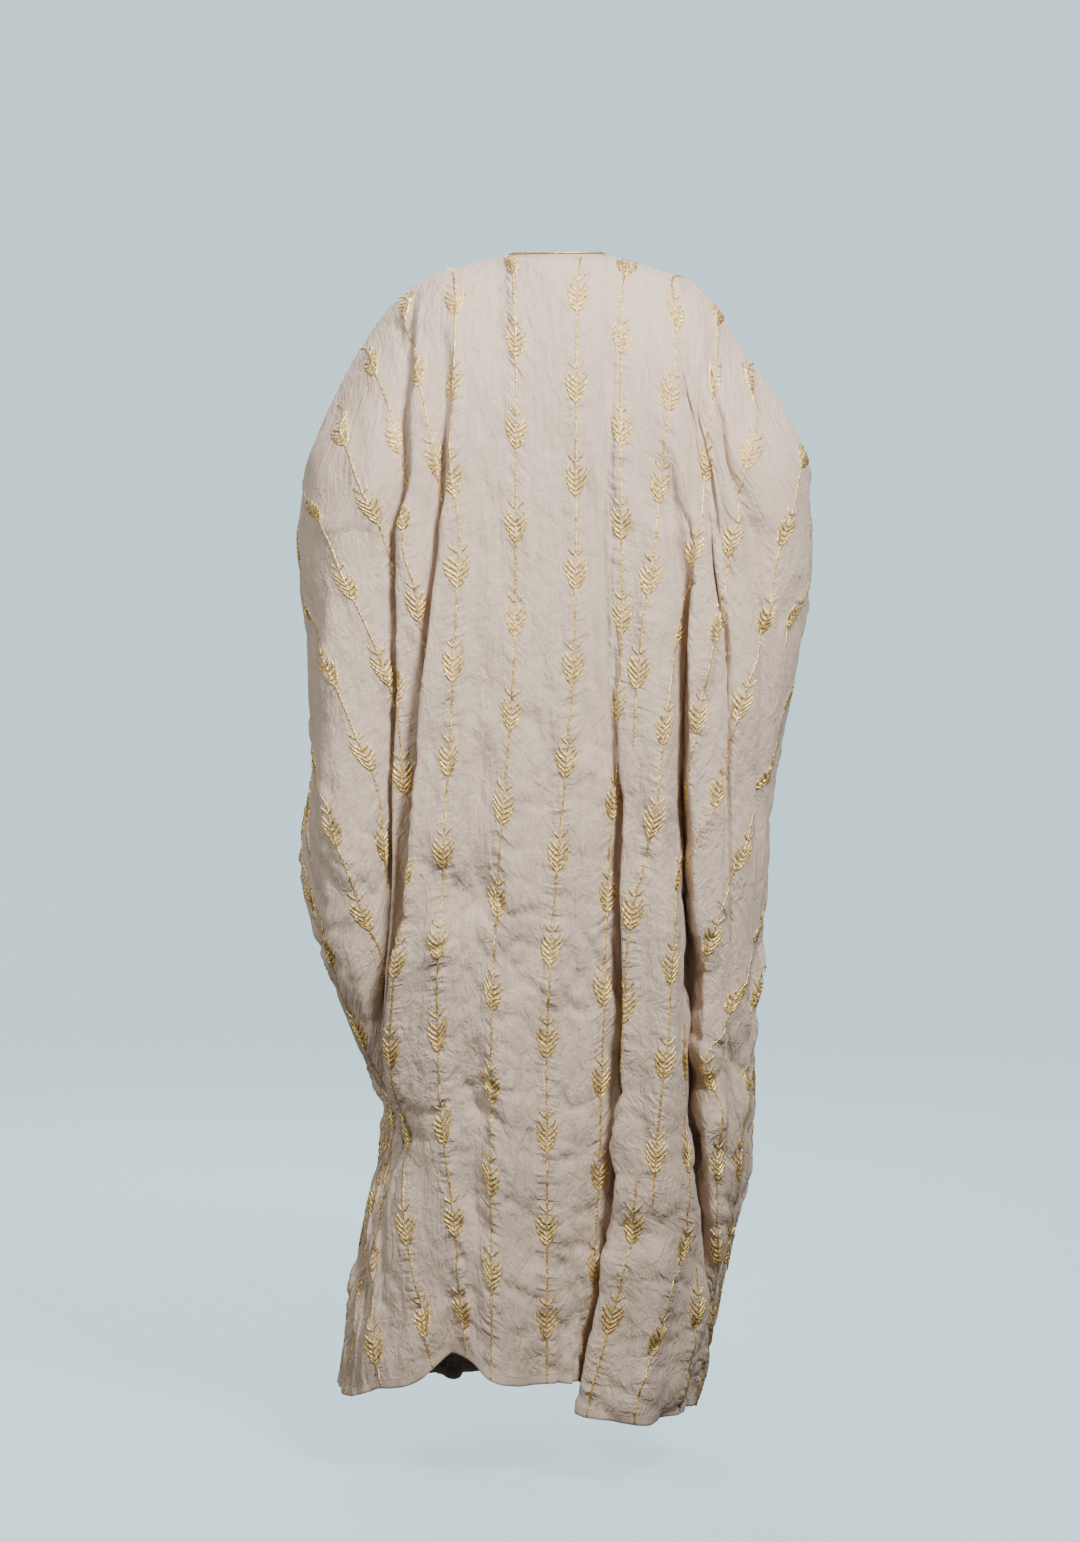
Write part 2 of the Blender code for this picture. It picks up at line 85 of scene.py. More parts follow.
# Rings of the back panel: the outermost point of the side, and the side seam
BACK_RINGS = {
    "left": (
        # height  back_y  side_x  side_y  seam_x  seam_y
        (-350,    124,    324,    -20,    290,    -228),
        (-470,    127,    317,    -30,    292,    -206),
        (-600,    127,    312,    -30,    298,    -172),
        (-780,    126,    318,    -30,    300,    -122),
        (-880,    125,    292,    -15,    276,     -86),
        (-980,    124,    247,     -2,    237,     -48),
        (-1070,   124,    212,     10,    206,     -26),
        (-1180,   125,    232,     12,    228,     -22),
        (-1300,   126,    256,     12,    252,     -20),
        (-1430,   127,    270,     12,    266,     -18),
    ),
    "right": (
        # height  back_y  side_x  side_y  seam_x  seam_y
        (-350,    124,    322,    -20,    290,    -228),
        (-430,    126,    317,    -28,    292,    -214),
        (-550,    127,    296,    -30,    288,    -186),
        (-660,    127,    275,    -30,    272,    -155),
        (-780,    126,    268,    -28,    264,    -118),
        (-900,    125,    258,    -18,    253,     -88),
        (-1000,   124,    250,     -6,    245,     -64),
        (-1100,   124,    246,      4,    240,     -44),
        (-1250,   125,    214,     12,    209,     -24),
        (-1430,   127,    166,     12,    162,     -18),
    ),
}

# Rings of each front panel: the fullest point of the chest, and the crook inside the elbow
FRONT_RINGS = {
    "left": (
        # height  edge_x  front_y  chest_x  chest_y  crook_x  crook_y
        (-350,    5,     -150,     150,     -140,    248,     -42),
        (-470,    6,     -160,     155,     -148,    246,     -44),
        (-600,    8,     -166,     160,     -150,    248,     -46),
        (-780,    10,    -170,     165,     -152,    252,     -50),
        (-880,    11,    -172,     160,     -152,    240,     -60),
        (-980,    12,    -174,     150,     -152,    216,     -72),
        (-1070,   14,    -175,     140,     -150,    194,     -80),
        (-1180,   17,    -177,     148,     -152,    211,     -84),
        (-1300,   20,    -180,     158,     -156,    230,     -86),
        (-1430,   24,    -183,     165,     -160,    244,     -88),
    ),
    "right": (
        # height  edge_x  front_y  chest_x  chest_y  crook_x  crook_y
        (-350,    5,     -150,     150,     -140,    248,     -42),
        (-430,    5,     -158,     153,     -146,    244,     -44),
        (-550,    6,     -164,     152,     -150,    236,     -50),
        (-660,    6,     -168,     150,     -152,    230,     -56),
        (-780,    7,     -170,     148,     -152,    226,     -76),
        (-900,    6,     -172,     146,     -152,    216,     -92),
        (-1000,   5,     -174,     144,     -152,    212,     -100),
        (-1100,   5,     -176,     142,     -152,    210,     -98),
        (-1250,   7,     -179,     132,     -154,    192,     -88),
        (-1430,   9,     -183,     110,     -160,    152,     -94),
    ),
}

# Heights at which the folds of each panel are given
FOLD_HEIGHTS = {
    "back": (-350, -500, -650, -800, -950, -1100, -1250, -1400),
    "front": (-150, -500, -950, -1400),
}

# Place is the distance round the ring from the centre back, depth is inwards, inner and outer are the
# fold's widths towards the centre and the side, and lean carries the crest beside it over the valley
BACK_FOLDS = {
    "left": (
        # name, place at each height, depth at each height, inner, outer, lean, led
        ("body over wing", (143, 155, 171, 184, 211, 234, 240, 246),
                           (24, 42, 48, 50, 44, 12, 0, 0), 13, 52, 16, True),
        ("wing mid",       (193, 192, 200, 205, 232, 258, 262, 268),
                           (24, 42, 46, 44, 34, 8, 0, 0), 12, 58, 15, True),
        ("wing crease",    (270, 280, 280, 280, 282, 284, 286, 288),
                           (-6, -12, -10, -6, -4, -4, -4, -4), 40, 40, 0, False),
        ("wing side",      (410, 420, 400, 370, 350, 340, 330, 320),
                           (4, 12, 14, 14, 12, 8, 4, 0), 50, 50, 0, False),
        ("hem notch",      (106, 110, 112, 116, 118, 121, 126, 132),
                           (0, 0, 0, 0, 0, 2, 7, 26), 26, 24, 0, False),
        ("hem lobe",       (60, 60, 60, 61, 62, 64, 67, 70),
                           (-2, -4, -5, -6, -8, -10, -12, -16), 50, 40, 0, False),
    ),
    "right": (
        # name, place at each height, depth at each height, inner, outer, lean, led
        ("lobe over back", (64, 67, 76, 82, 83, 74, 58, 31),
                           (0, 6, 20, 32, 40, 44, 42, 32), 56, 12, -15, True),
        ("body lobe",      (118, 120, 122, 125, 128, 120, 110, 100),
                           (-4, -8, -12, -15, -18, -22, -26, -30), 46, 46, 0, False),
        ("sleeve lobe",    (162, 164, 166, 176, 183, 192, 210, 216),
                           (8, 32, 48, 54, 54, 42, 16, 0), 54, 12, -15, True),
        ("yoke groove",    (192, 210, 213, 217, 216, 224, 240, 246),
                           (18, 13, 9, 6, 3, 0, 0, 0), 24, 10, -12, True),
        ("sleeve groove",  (246, 266, 276, 282, 286, 290, 290, 290),
                           (15, 13, 10, 6, 3, 0, 0, 0), 24, 12, 0, False),
        ("wing side",      (410, 420, 400, 380, 360, 350, 340, 330),
                           (4, 12, 12, 12, 10, 8, 4, 0), 50, 50, 0, False),
    ),
}

FRONT_FOLDS = {
    "left": (
        # name             place at each height      depth at each height   inner outer lean led
        ("front edge",     (30,  44,  50,  56),      (0, -6, -12, -18),     34,   40,   0,   True),
        ("chest valley",   (96,  104, 112, 118),     (0, 14, 26, 32),       40,   22,   -4,  True),
        ("hip crest",      (150, 156, 164, 172),     (0, -8, -14, -18),     36,   40,   0,   True),
        ("side valley",    (206, 210, 214, 224),     (0, 12, 16, 26),       26,   40,   0,   True),
    ),
    "right": (
        # name             place at each height      depth at each height   inner outer lean led
        ("front edge",     (34,  38,  44,  46),      (0, -6, -10, -16),     30,   36,   0,   True),
        ("chest valley",   (86,  92,  98,  98),      (0, 16, 28, 32),       22,   40,   4,   True),
        ("hip crest",      (142, 148, 148, 140),     (0, -8, -14, -16),     36,   34,   0,   True),
        ("side valley",    (200, 202, 198, 178),     (0, 12, 16, 18),       40,   26,   0,   True),
    ),
}

HEMS = {
    "back left":   ((0.00, -1374), (0.06, -1374), (0.10, -1366), (0.145, -1341), (0.175, -1343),
                    (0.205, -1366), (0.30, -1388), (0.45, -1400), (0.80, -1402), (1.00, -1398)),
    "back right":  ((0.00, -1374), (0.10, -1376), (0.14, -1388), (0.18, -1408), (0.24, -1418),
                    (0.45, -1424), (0.70, -1429), (1.00, -1424)),
    "front left":  ((0.00, -1428), (0.30, -1424), (0.60, -1418), (0.85, -1408), (1.00, -1398)),
    "front right": ((0.00, -1428), (0.30, -1425), (0.60, -1420), (0.85, -1424), (1.00, -1424)),
}

RING_STEPS = 700           # steps round a ring, and from the first ring down to the last
HEIGHT_STEPS = 220
EDGE_FADE = 40 * MM        # folds die out over this distance from the side seam
FULL_LEAN_DEPTH = 30 * MM  # depth from which on a fold leans in full
ELBOW_SHARE = 0.66         # share of the columns up to the elbow, and where that lies between the last
ELBOW_PLACE = 0.44         # led fold and the seam
CROWDING = 2.2             # columns added at a steep fold, over so many of its widths, and what is steep
CROWDED_WIDTH = 1.7
STEEP_WIDTH = 25 * MM
LEAN_WIDTH = 0.85          # width of the crest that is carried over, in widths of its fold
COLUMN_BLUR = 0.025        # how far the columns' places are evened, as a share of the ring
COLUMN_SAMPLES = 7
CUSP = 2.1                 # how sharply the cloth dives under the layer that overlaps it
# Where the points that lead a ring lie on its curve, and the shares by which the points between are placed
BACK_KNOTS = (0.0, 1.0, 1.75, 2.4, 3.4)
FRONT_KNOTS = (0.0, 1.0, 1.8, 2.6, 3.3, 4.0)
BACK_CORNER = ((0.55, 0.985), (0.89, 0.62))
FRONT_CORNER = (0.55, 0.45)
CROOK_TO_SEAM = (0.58, 0.5)

# How the folds run up into the yoke: the columns of their two main lines at each height and what is
# left of them there. The first row is the first ring
YOKE_LINES = {
    "left": (
        # height  inner  outer  inner_left  outer_left
        (-350,    30.8,  49.5,  1.0,        1.0),
        (-290,    29.0,  45.0,  0.9,        1.0),
        (-224,    27.5,  43.6,  0.7,        0.95),
        (-187,    27.0,  42.4,  0.5,        0.85),
        (-149,    26.8,  39.6,  0.25,       0.7),
        (-95,     26.0,  36.6,  0.0,        0.45),
        (-48,     25.0,  31.9,  0.0,        0.15),
        (0,       24.0,  30.0,  0.0,        0.0),
    ),
    "right": (
        # height  inner  outer  inner_left  outer_left
        (-350,    40.5,  50.5,  1.0,        1.0),
        (-320,    35.0,  49.5,  0.9,        1.0),
        (-290,    32.0,  48.0,  0.75,       1.0),
        (-256,    29.8,  45.0,  0.45,       1.0),
        (-214,    28.6,  41.0,  0.15,       0.9),
        (-175,    27.5,  35.7,  0.0,        0.75),
        (-131,    25.0,  31.3,  0.0,        0.6),
        (-82,     24.0,  29.5,  0.0,        0.35),
        (-48,     23.0,  28.0,  0.0,        0.1),
        (0,       22.0,  27.0,  0.0,        0.0),
    ),
}

BACK_COLUMNS = 165         # columns of quads on each half of the back
FRONT_COLUMNS = 120
YOKE_ROWS = 86
SKIRT_ROWS = 200
YOKE_STEPS = 2000          # fine steps of the yoke's curve, from which its rows are evenly spaced
YOKE_REACH = 0.12          # the yoke's usual reach outwards and fall, for that spacing
YOKE_FALL = 0.30

SEAM_LIFT = 0.3            # how far the common direction leans upwards along the shoulder and sleeve
SEWN_WITHIN = 0.1 * MM     # side edges as close as this are sewn together
SPACING_BLUR = (2, 6)      # reach in rows and columns, here and in the blurs below
OUTWARD_BLUR = (3, 3)
BESIDE_STEPS = 4           # steps that find the column beside a row
CALM_FROM = 0.75           # cosine of the bend at which the crinkle starts, and how much more is full
CALM_OVER = 0.2
HELD_ROWS = 8              # rows and columns over which creases fade in from the sewn edges
HELD_COLUMNS = 3

CREASE_POINTS = 33         # points on a crease's path
CREASE_END = 0.35          # what is left of a crease's depth at its ends

# The crinkle's noises: the rows and columns of one wave, the number of its random draw, its depth high
# up, what is added low down, and whether it is ridged: one less RIDGE times its distance from nothing
CRINKLE = (
    # name      rows columns draw upper added ridged
    ("tall",    30,  8,      0,   1.7,  0.6,  True),
    ("slanted", 12,  11,     1,   0.9,  3.6,  True),
    ("small",   6,   5,      2,   0.5,  0.7,  True),
    ("swell",   26,  20,     3,   1.2,  2.1,  False),
    ("pillow",  14,  13,     5,   0.4,  1.1,  False),
)
RIDGE = 1.1
CRINKLE_FROM = 0.35        # metres down at which the added depth starts, and over which it grows
CRINKLE_OVER = 0.75
UNEVEN_CELL = (40, 40)     # the slow noise that the crinkle is multiplied by, with its draw's number,
UNEVEN_DRAW = 4            # middle, swing and limit
UNEVEN_MIDDLE = 0.65
UNEVEN_SWING = 0.35
UNEVEN_LIMIT = 1.5
EVEN_STEP = 5 * MM         # rows closer than this crowd together, and the crinkle weakens there
CROWDED_BLUR = (8, 4)
NOISE_MIDDLE = 0.8         # the noises' bell curve over waves, in waves to a cell
NOISE_WIDTH = 0.45
RUMPLE_FROM = 0.3          # metres down at which the linen's fine relief starts to grow
RUMPLE_OVER = 0.8
RUMPLE_UPPER = 0.8
RUMPLE_ADDED = 0.3
STRIP_RUMPLE = 0.3         # the relief of hems and binding

# Creases. Depth is inwards; right and left are the widths on either hand of who walks the path outside
# the cloth, head up; path is (height, column)
CREASES = {
    "back": (
        # name               depth right left  path
        ("dark diagonal",     5.5,  12,   16,   ((-1004, 17.5), (-1024, 15), (-1050, 13), (-1068, 12),
                                                 (-1100, 12.5))),
        ("long groove",       5,    10,   14,   ((-1104, 13.5), (-1132, 14), (-1164, 13.5), (-1180, 12),
                                                 (-1192, 11))),
        ("groove below",      3,    10,   12,   ((-1182, 13), (-1200, 12.5), (-1232, 13))),
        ("left pucker",       3,    7,    10,   ((-1100, 17.5), (-1096, 15), (-1088, 12.5))),
        ("upper diagonal",    2.4,  12,   14,   ((-768, 22), (-790, 17), (-806, 15))),
        ("short groove",      2.6,  7,    8,    ((-856, 18.5), (-876, 17.5), (-892, 15.5))),
        ("streak left",       1.8,  5,    7,    ((-832, 26.5), (-866, 27), (-906, 28))),
        ("pillow edge",       4.5,  9,    14,   ((-912, -0.5), (-928, -4), (-920, -7))),
        ("soft right",        3,    12,   14,   ((-852, -1.5), (-880, -3), (-912, -4.5))),
        ("hook",              3.4,  8,    9,    ((-1012, 1.5), (-1022, -0.5), (-1052, -0.5))),
        ("mid right 1",       3.2,  8,    12,   ((-1044, -1), (-1042, -4), (-1036, -7))),
        ("mid right 2",       3.4,  7,    10,   ((-1084, -2.5), (-1088, -4.5), (-1084, -6.5))),
        ("mid right 3",       4,    8,    11,   ((-1108, 1.5), (-1104, -3), (-1092, -8))),
        ("centre nick 1",     2.6,  7,    8,    ((-1054, 10.5), (-1072, 8.5))),
        ("centre nick 2",     3,    7,    8,    ((-1100, 10), (-1124, 9))),
        ("ear crease",        4,    8,    11,   ((-1154, 9), (-1156, 6.5), (-1174, 4))),
        ("right shelf 1",     4.2,  10,   14,   ((-1176, -4), (-1166, -7.5), (-1160, -10))),
        ("right shelf 2",     4.2,  8,    12,   ((-1206, 0.5), (-1212, -2.5), (-1210, -5.5), (-1220, -8))),
        ("soft patch",        3,    16,   16,   ((-1228, 0), (-1240, -2.5))),
        ("low shelf",         4.2,  9,    12,   ((-1250, 9), (-1262, 6), (-1276, 4.5))),
        ("low patch",         3.4,  14,   16,   ((-1268, -1), (-1254, -7.5))),
        ("row shadow",        4,    8,    12,   ((-1212, 16), (-1232, 14.5), (-1262, 13.5), (-1296, 11.5))),
        ("hem groove",        3.6,  9,    12,   ((-1272, 10), (-1288, 10), (-1316, 11), (-1350, 12))),
        ("low soft",          2.8,  10,   14,   ((-1316, 7), (-1308, 3))),
        ("centre soft",       2.6,  14,   12,   ((-1236, 5.5), (-1226, 4), (-1216, 1.5))),
        ("cross faint 1",     1.8,  6,    9,    ((-812, 10.5), (-808, 6.5), (-804, 2))),
        ("cross faint 2",     1.8,  6,    8,    ((-860, 17), (-860, 12.5))),
        ("pucker 1",          2,    4,    6,    ((-884, 4), (-880, 1.5))),
        ("pucker 2",          2,    4,    6,    ((-900, 7), (-896, 2))),
        ("diag upper",        3,    8,    12,   ((-568, 9), (-576, 6), (-604, 3.5))),
        ("diag upper 2",      2.2,  10,   10,   ((-540, 3.5), (-548, 0))),
        ("left of centre",    2.4,  12,   14,   ((-540, 20.5), (-600, 17.5), (-672, 17.5))),
        ("cross mid",         1.8,  6,    10,   ((-672, 9), (-680, 4.5), (-676, 1))),
        ("cross mid 2",       1.6,  6,    10,   ((-724, 12), (-732, 8), (-726, 2.5))),
        ("crinkle 1",         2.2,  5,    6,    ((-304, -8), (-382, -9.5), (-478, -8))),
        ("crinkle 2",         2.4,  5,    6,    ((-300, -10.5), (-382, -12), (-478, -12.5), (-568, -12.5))),
        ("crinkle 3",         1.8,  4,    6,    ((-382, -6.5), (-454, -7.5), (-552, -8.5))),
        ("crinkle 4",         1.6,  5,    5,    ((-310, -16.5), (-358, -17), (-406, -15))),
        ("lobe groove",       3,    10,   10,   ((-1204, -24), (-1256, -24), (-1296, -24))),
        ("lobe pucker 1",     2.2,  6,    8,    ((-1048, -25), (-1056, -27))),
        ("lobe pucker 2",     2.2,  6,    8,    ((-1076, -27), (-1074, -30))),
        ("lobe groove 2",     2.6,  9,    9,    ((-1078, -26), (-1138, -26.5), (-1188, -27.5))),
        ("lobe groove 3",     2.6,  10,   12,   ((-1322, -27.5), (-1372, -30), (-1416, -30))),
        ("sleeve groove up",  4,    7,    10,   ((-508, -53), (-578, -51.5), (-670, -50), (-788, -47))),
        ("sleeve groove mid", 3.2,  7,    9,    ((-860, -52.5), (-930, -46.5))),
        ("under the bulge",   6,    9,    12,   ((-972, -52), (-1004, -58), (-1014, -68))),
        ("sleeve dent 1",     4.5,  9,    12,   ((-1092, -43.5), (-1112, -50), (-1104, -58))),
        ("sleeve dent 2",     4.5,  8,    10,   ((-1156, -43.5), (-1164, -48), (-1176, -58))),
        ("sleeve dent 3",     4,    8,    10,   ((-1190, -42.5), (-1198, -48), (-1226, -60))),
        ("bulge",             -7,   22,   20,   ((-940, -58), (-964, -68))),
        ("bulge 2",           -5,   20,   20,   ((-1038, -56.5), (-1064, -62))),
        ("groove R3",         9,    10,   18,   ((-283, -55.5), (-356, -57.5), (-414, -58))),
        ("sleeve upper dent", 6,    12,   16,   ((-478, -45.5), (-538, -44.5), (-588, -43.5))),
        ("wing diag",         3.6,  9,    11,   ((-704, 58), (-744, 60), (-794, 64))),
        ("wing low",          3.8,  10,   12,   ((-812, 57.5), (-854, 59.5), (-924, 64.5))),
        ("wing cross",        2.4,  8,    10,   ((-728, 58), (-740, 56), (-740, 54.5))),
        ("wing soft",         3,    14,   14,   ((-434, 55.5), (-478, 55), (-538, 55.5))),
        ("wing soft 2",       2.6,  12,   14,   ((-574, 60), (-660, 59), (-720, 60))),
        ("groove at 672",     3,    14,   16,   ((-256, -30), (-310, -30), (-352, -30.5))),
        ("groove R1",         13,   9,    30,   ((-106, -31), (-152, -34.5), (-201, -40), (-254, -45.3),
                                                 (-314, -49.5), (-381, -52), (-429, -52), (-502, -50))),
        ("groove R2",         10,   22,   9,    ((-255, -29.5), (-321, -31.3), (-375, -34.3),
                                                 (-438, -39.6), (-537, -40.6), (-640, -40))),
        ("groove L1",         6,    20,   9,    ((-95, 37.5), (-149, 40.5), (-187, 43.2), (-224, 44.6),
                                                 (-290, 45.5), (-350, 46.5), (-478, 47.5))),
        ("groove L2",         5,    18,   9,    ((-124, 27.6), (-203, 27.4), (-247, 27.5), (-370, 29.4),
                                                 (-533, 29.8))),
        ("dart 1",            4,    6,    8,    ((-80, 36), (-94, 38), (-110, 39.5))),
        ("dart 2",            3,    6,    8,    ((-52, 32), (-96, 36.5), (-136, 38.5))),
        ("soft valley",       2.6,  10,   12,   ((-94, 28), (-126, 28), (-164, 28))),
        ("L2 kink",           2.4,  6,    8,    ((-132, 26.5), (-188, 26.5), (-224, 27))),
        ("low left streak 1", 2.2,  7,    9,    ((-1084, 62), (-1136, 60), (-1240, 58.5))),
        ("low left streak 2", 2.4,  9,    11,   ((-1138, 32), (-1220, 30.5), (-1316, 29.5))),
        ("low left streak 3", 2,    7,    9,    ((-1060, 23.5), (-1132, 22), (-1204, 22))),
        ("low left streak 4", 2.4,  9,    12,   ((-1232, 66), (-1312, 57.5), (-1380, 55))),
        ("leaning 1",         1.6,  4,    5,    ((-904, 28), (-974, 26.5), (-1048, 26))),
        ("leaning 2",         1.6,  4,    5,    ((-912, 25.5), (-984, 25), (-1056, 23.5))),
        ("leaning 3",         1.6,  4,    5,    ((-924, 22), (-984, 22), (-1060, 22))),
        ("side left 1",       4,    24,   18,   ((-420, 86), (-600, 84), (-820, 82))),
        ("side left 2",       3.2,  18,   22,   ((-560, 92), (-740, 91), (-960, 88))),
        ("side left 3",       4.4,  16,   24,   ((-760, 78), (-900, 76), (-1060, 72))),
        ("side left 4",       3.6,  20,   14,   ((-1080, 84), (-1230, 83), (-1400, 84))),
        ("side right 1",      4,    18,   24,   ((-400, -84), (-580, -82), (-800, -80))),
        ("side right 2",      3.4,  22,   16,   ((-600, -91), (-780, -90), (-1000, -88))),
        ("side right 3",      4.2,  16,   24,   ((-900, -72), (-1080, -70), (-1300, -70))),
        ("side right 4",      3.6,  20,   14,   ((-1100, -84), (-1240, -83), (-1400, -84))),
        ("elbow left 1",      4,    12,   20,   ((-300, 74), (-318, 80), (-330, 88))),
        ("elbow left 2",      4.4,  14,   18,   ((-380, 76), (-402, 83), (-420, 92))),
        ("elbow right 1",     4.2,  12,   18,   ((-296, -75), (-322, -82), (-336, -90))),
        ("elbow right 2",     4,    10,   20,   ((-400, -74), (-416, -82), (-440, -92))),
        ("wing side 1",       3.6,  10,   16,   ((-640, 66), (-616, 74), (-600, 84))),
        ("wing side 2",       4,    10,   18,   ((-800, 68), (-770, 78), (-752, 90))),
        ("wing side 3",       4.2,  12,   16,   ((-905, 64), (-872, 76), (-850, 88))),
        ("wing side 4",       4.4,  10,   18,   ((-1000, 62), (-976, 74), (-950, 86))),
        ("wing side 5",       5,    12,   20,   ((-1064, 60), (-1052, 74), (-1030, 88))),
        ("sleeve side 1",     3.8,  10,   16,   ((-690, -66), (-706, -76), (-700, -88))),
        ("sleeve side 2",     4.2,  12,   16,   ((-812, -68), (-830, -78), (-822, -90))),
        ("sleeve side 3",     4.4,  10,   18,   ((-930, -66), (-950, -78), (-944, -90))),
        ("sleeve side 4",     4.6,  12,   16,   ((-1050, -66), (-1066, -78), (-1060, -90))),
    ),
    "front_left": (
        # name               depth right left  path
        ("collarbone",        4,    14,   30,   ((-70, 12), (-180, 14), (-330, 14))),
        ("chest",             3.2,  26,   18,   ((-160, 26), (-330, 25), (-520, 24))),
        ("arm pit",           6,    14,   34,   ((-150, 52), (-260, 56), (-380, 60))),
        ("arm pit outer",     4.4,  20,   14,   ((-200, 66), (-300, 66), (-430, 68))),
        ("waist 1",           3.4,  20,   14,   ((-560, 13), (-720, 14), (-900, 14))),
        ("waist 2",           2.8,  14,   20,   ((-640, 38), (-800, 38), (-980, 39))),
        ("hip 1",             3.8,  16,   22,   ((-860, 50), (-1030, 50), (-1230, 51))),
        ("low 1",             3.2,  18,   12,   ((-1050, 9), (-1200, 10), (-1400, 9))),
        ("low 2",             3.6,  14,   18,   ((-1100, 30), (-1240, 31), (-1400, 31))),
        ("low 3",             3,    20,   14,   ((-1160, 72), (-1280, 73), (-1400, 73))),
        ("under arm",         4.6,  18,   24,   ((-420, 82), (-600, 82), (-800, 83))),
        ("elbow crook 1",     6,    26,   14,   ((-300, 56), (-318, 68), (-330, 82))),
        ("elbow crook 2",     5,    22,   12,   ((-370, 58), (-392, 68), (-420, 80))),
        ("under arm 1",       4,    20,   12,   ((-520, 60), (-540, 72), (-560, 86))),
        ("waist 1 across",    2.6,  12,   8,    ((-700, 8), (-712, 20), (-700, 32))),
        ("hip 1 across",      2.8,  12,   9,    ((-880, 30), (-892, 42), (-880, 56))),
        ("low 1 across",      3,    14,   8,    ((-1090, 6), (-1104, 20), (-1092, 34))),
        ("low 2 across",      3,    12,   9,    ((-1210, 36), (-1224, 50), (-1208, 66))),
    ),
    "front_right": (
        # name               depth right left  path
        ("collarbone",        3.6,  14,   26,   ((-80, 10), (-200, 12), (-360, 13))),
        ("chest",             3.4,  18,   26,   ((-140, 29), (-300, 28), (-480, 27))),
        ("arm pit",           5.4,  14,   32,   ((-140, 50), (-270, 55), (-400, 60))),
        ("arm pit outer",     4,    16,   20,   ((-220, 68), (-320, 68), (-440, 70))),
        ("waist 1",           3,    14,   22,   ((-500, 15), (-680, 15), (-840, 14))),
        ("waist 2",           3.6,  18,   14,   ((-700, 41), (-850, 41), (-1040, 40))),
        ("hip 1",             3,    22,   16,   ((-820, 54), (-1000, 53), (-1180, 54))),
        ("low 1",             3.8,  12,   18,   ((-1010, 11), (-1180, 11), (-1390, 12))),
        ("low 2",             2.8,  20,   14,   ((-1140, 33), (-1270, 34), (-1400, 33))),
        ("low 3",             3.4,  14,   20,   ((-1120, 75), (-1260, 74), (-1410, 75))),
        ("under arm",         4.2,  24,   18,   ((-440, 83), (-640, 83), (-860, 84))),
        ("elbow crook 1",     6,    24,   12,   ((-310, 55), (-330, 67), (-336, 82))),
        ("elbow crook 2",     5,    20,   14,   ((-386, 57), (-408, 68), (-440, 80))),
        ("under arm 1",       4,    22,   10,   ((-560, 62), (-580, 74), (-590, 86))),
        ("waist 1 across",    2.8,  12,   8,    ((-650, 12), (-664, 24), (-652, 36))),
        ("hip 1 across",      2.6,  14,   8,    ((-930, 26), (-944, 40), (-926, 54))),
        ("low 1 across",      3.2,  12,   9,    ((-1140, 8), (-1152, 22), (-1136, 38))),
        ("low 2 across",      2.8,  12,   8,    ((-1260, 40), (-1272, 54), (-1260, 68))),
    ),
}

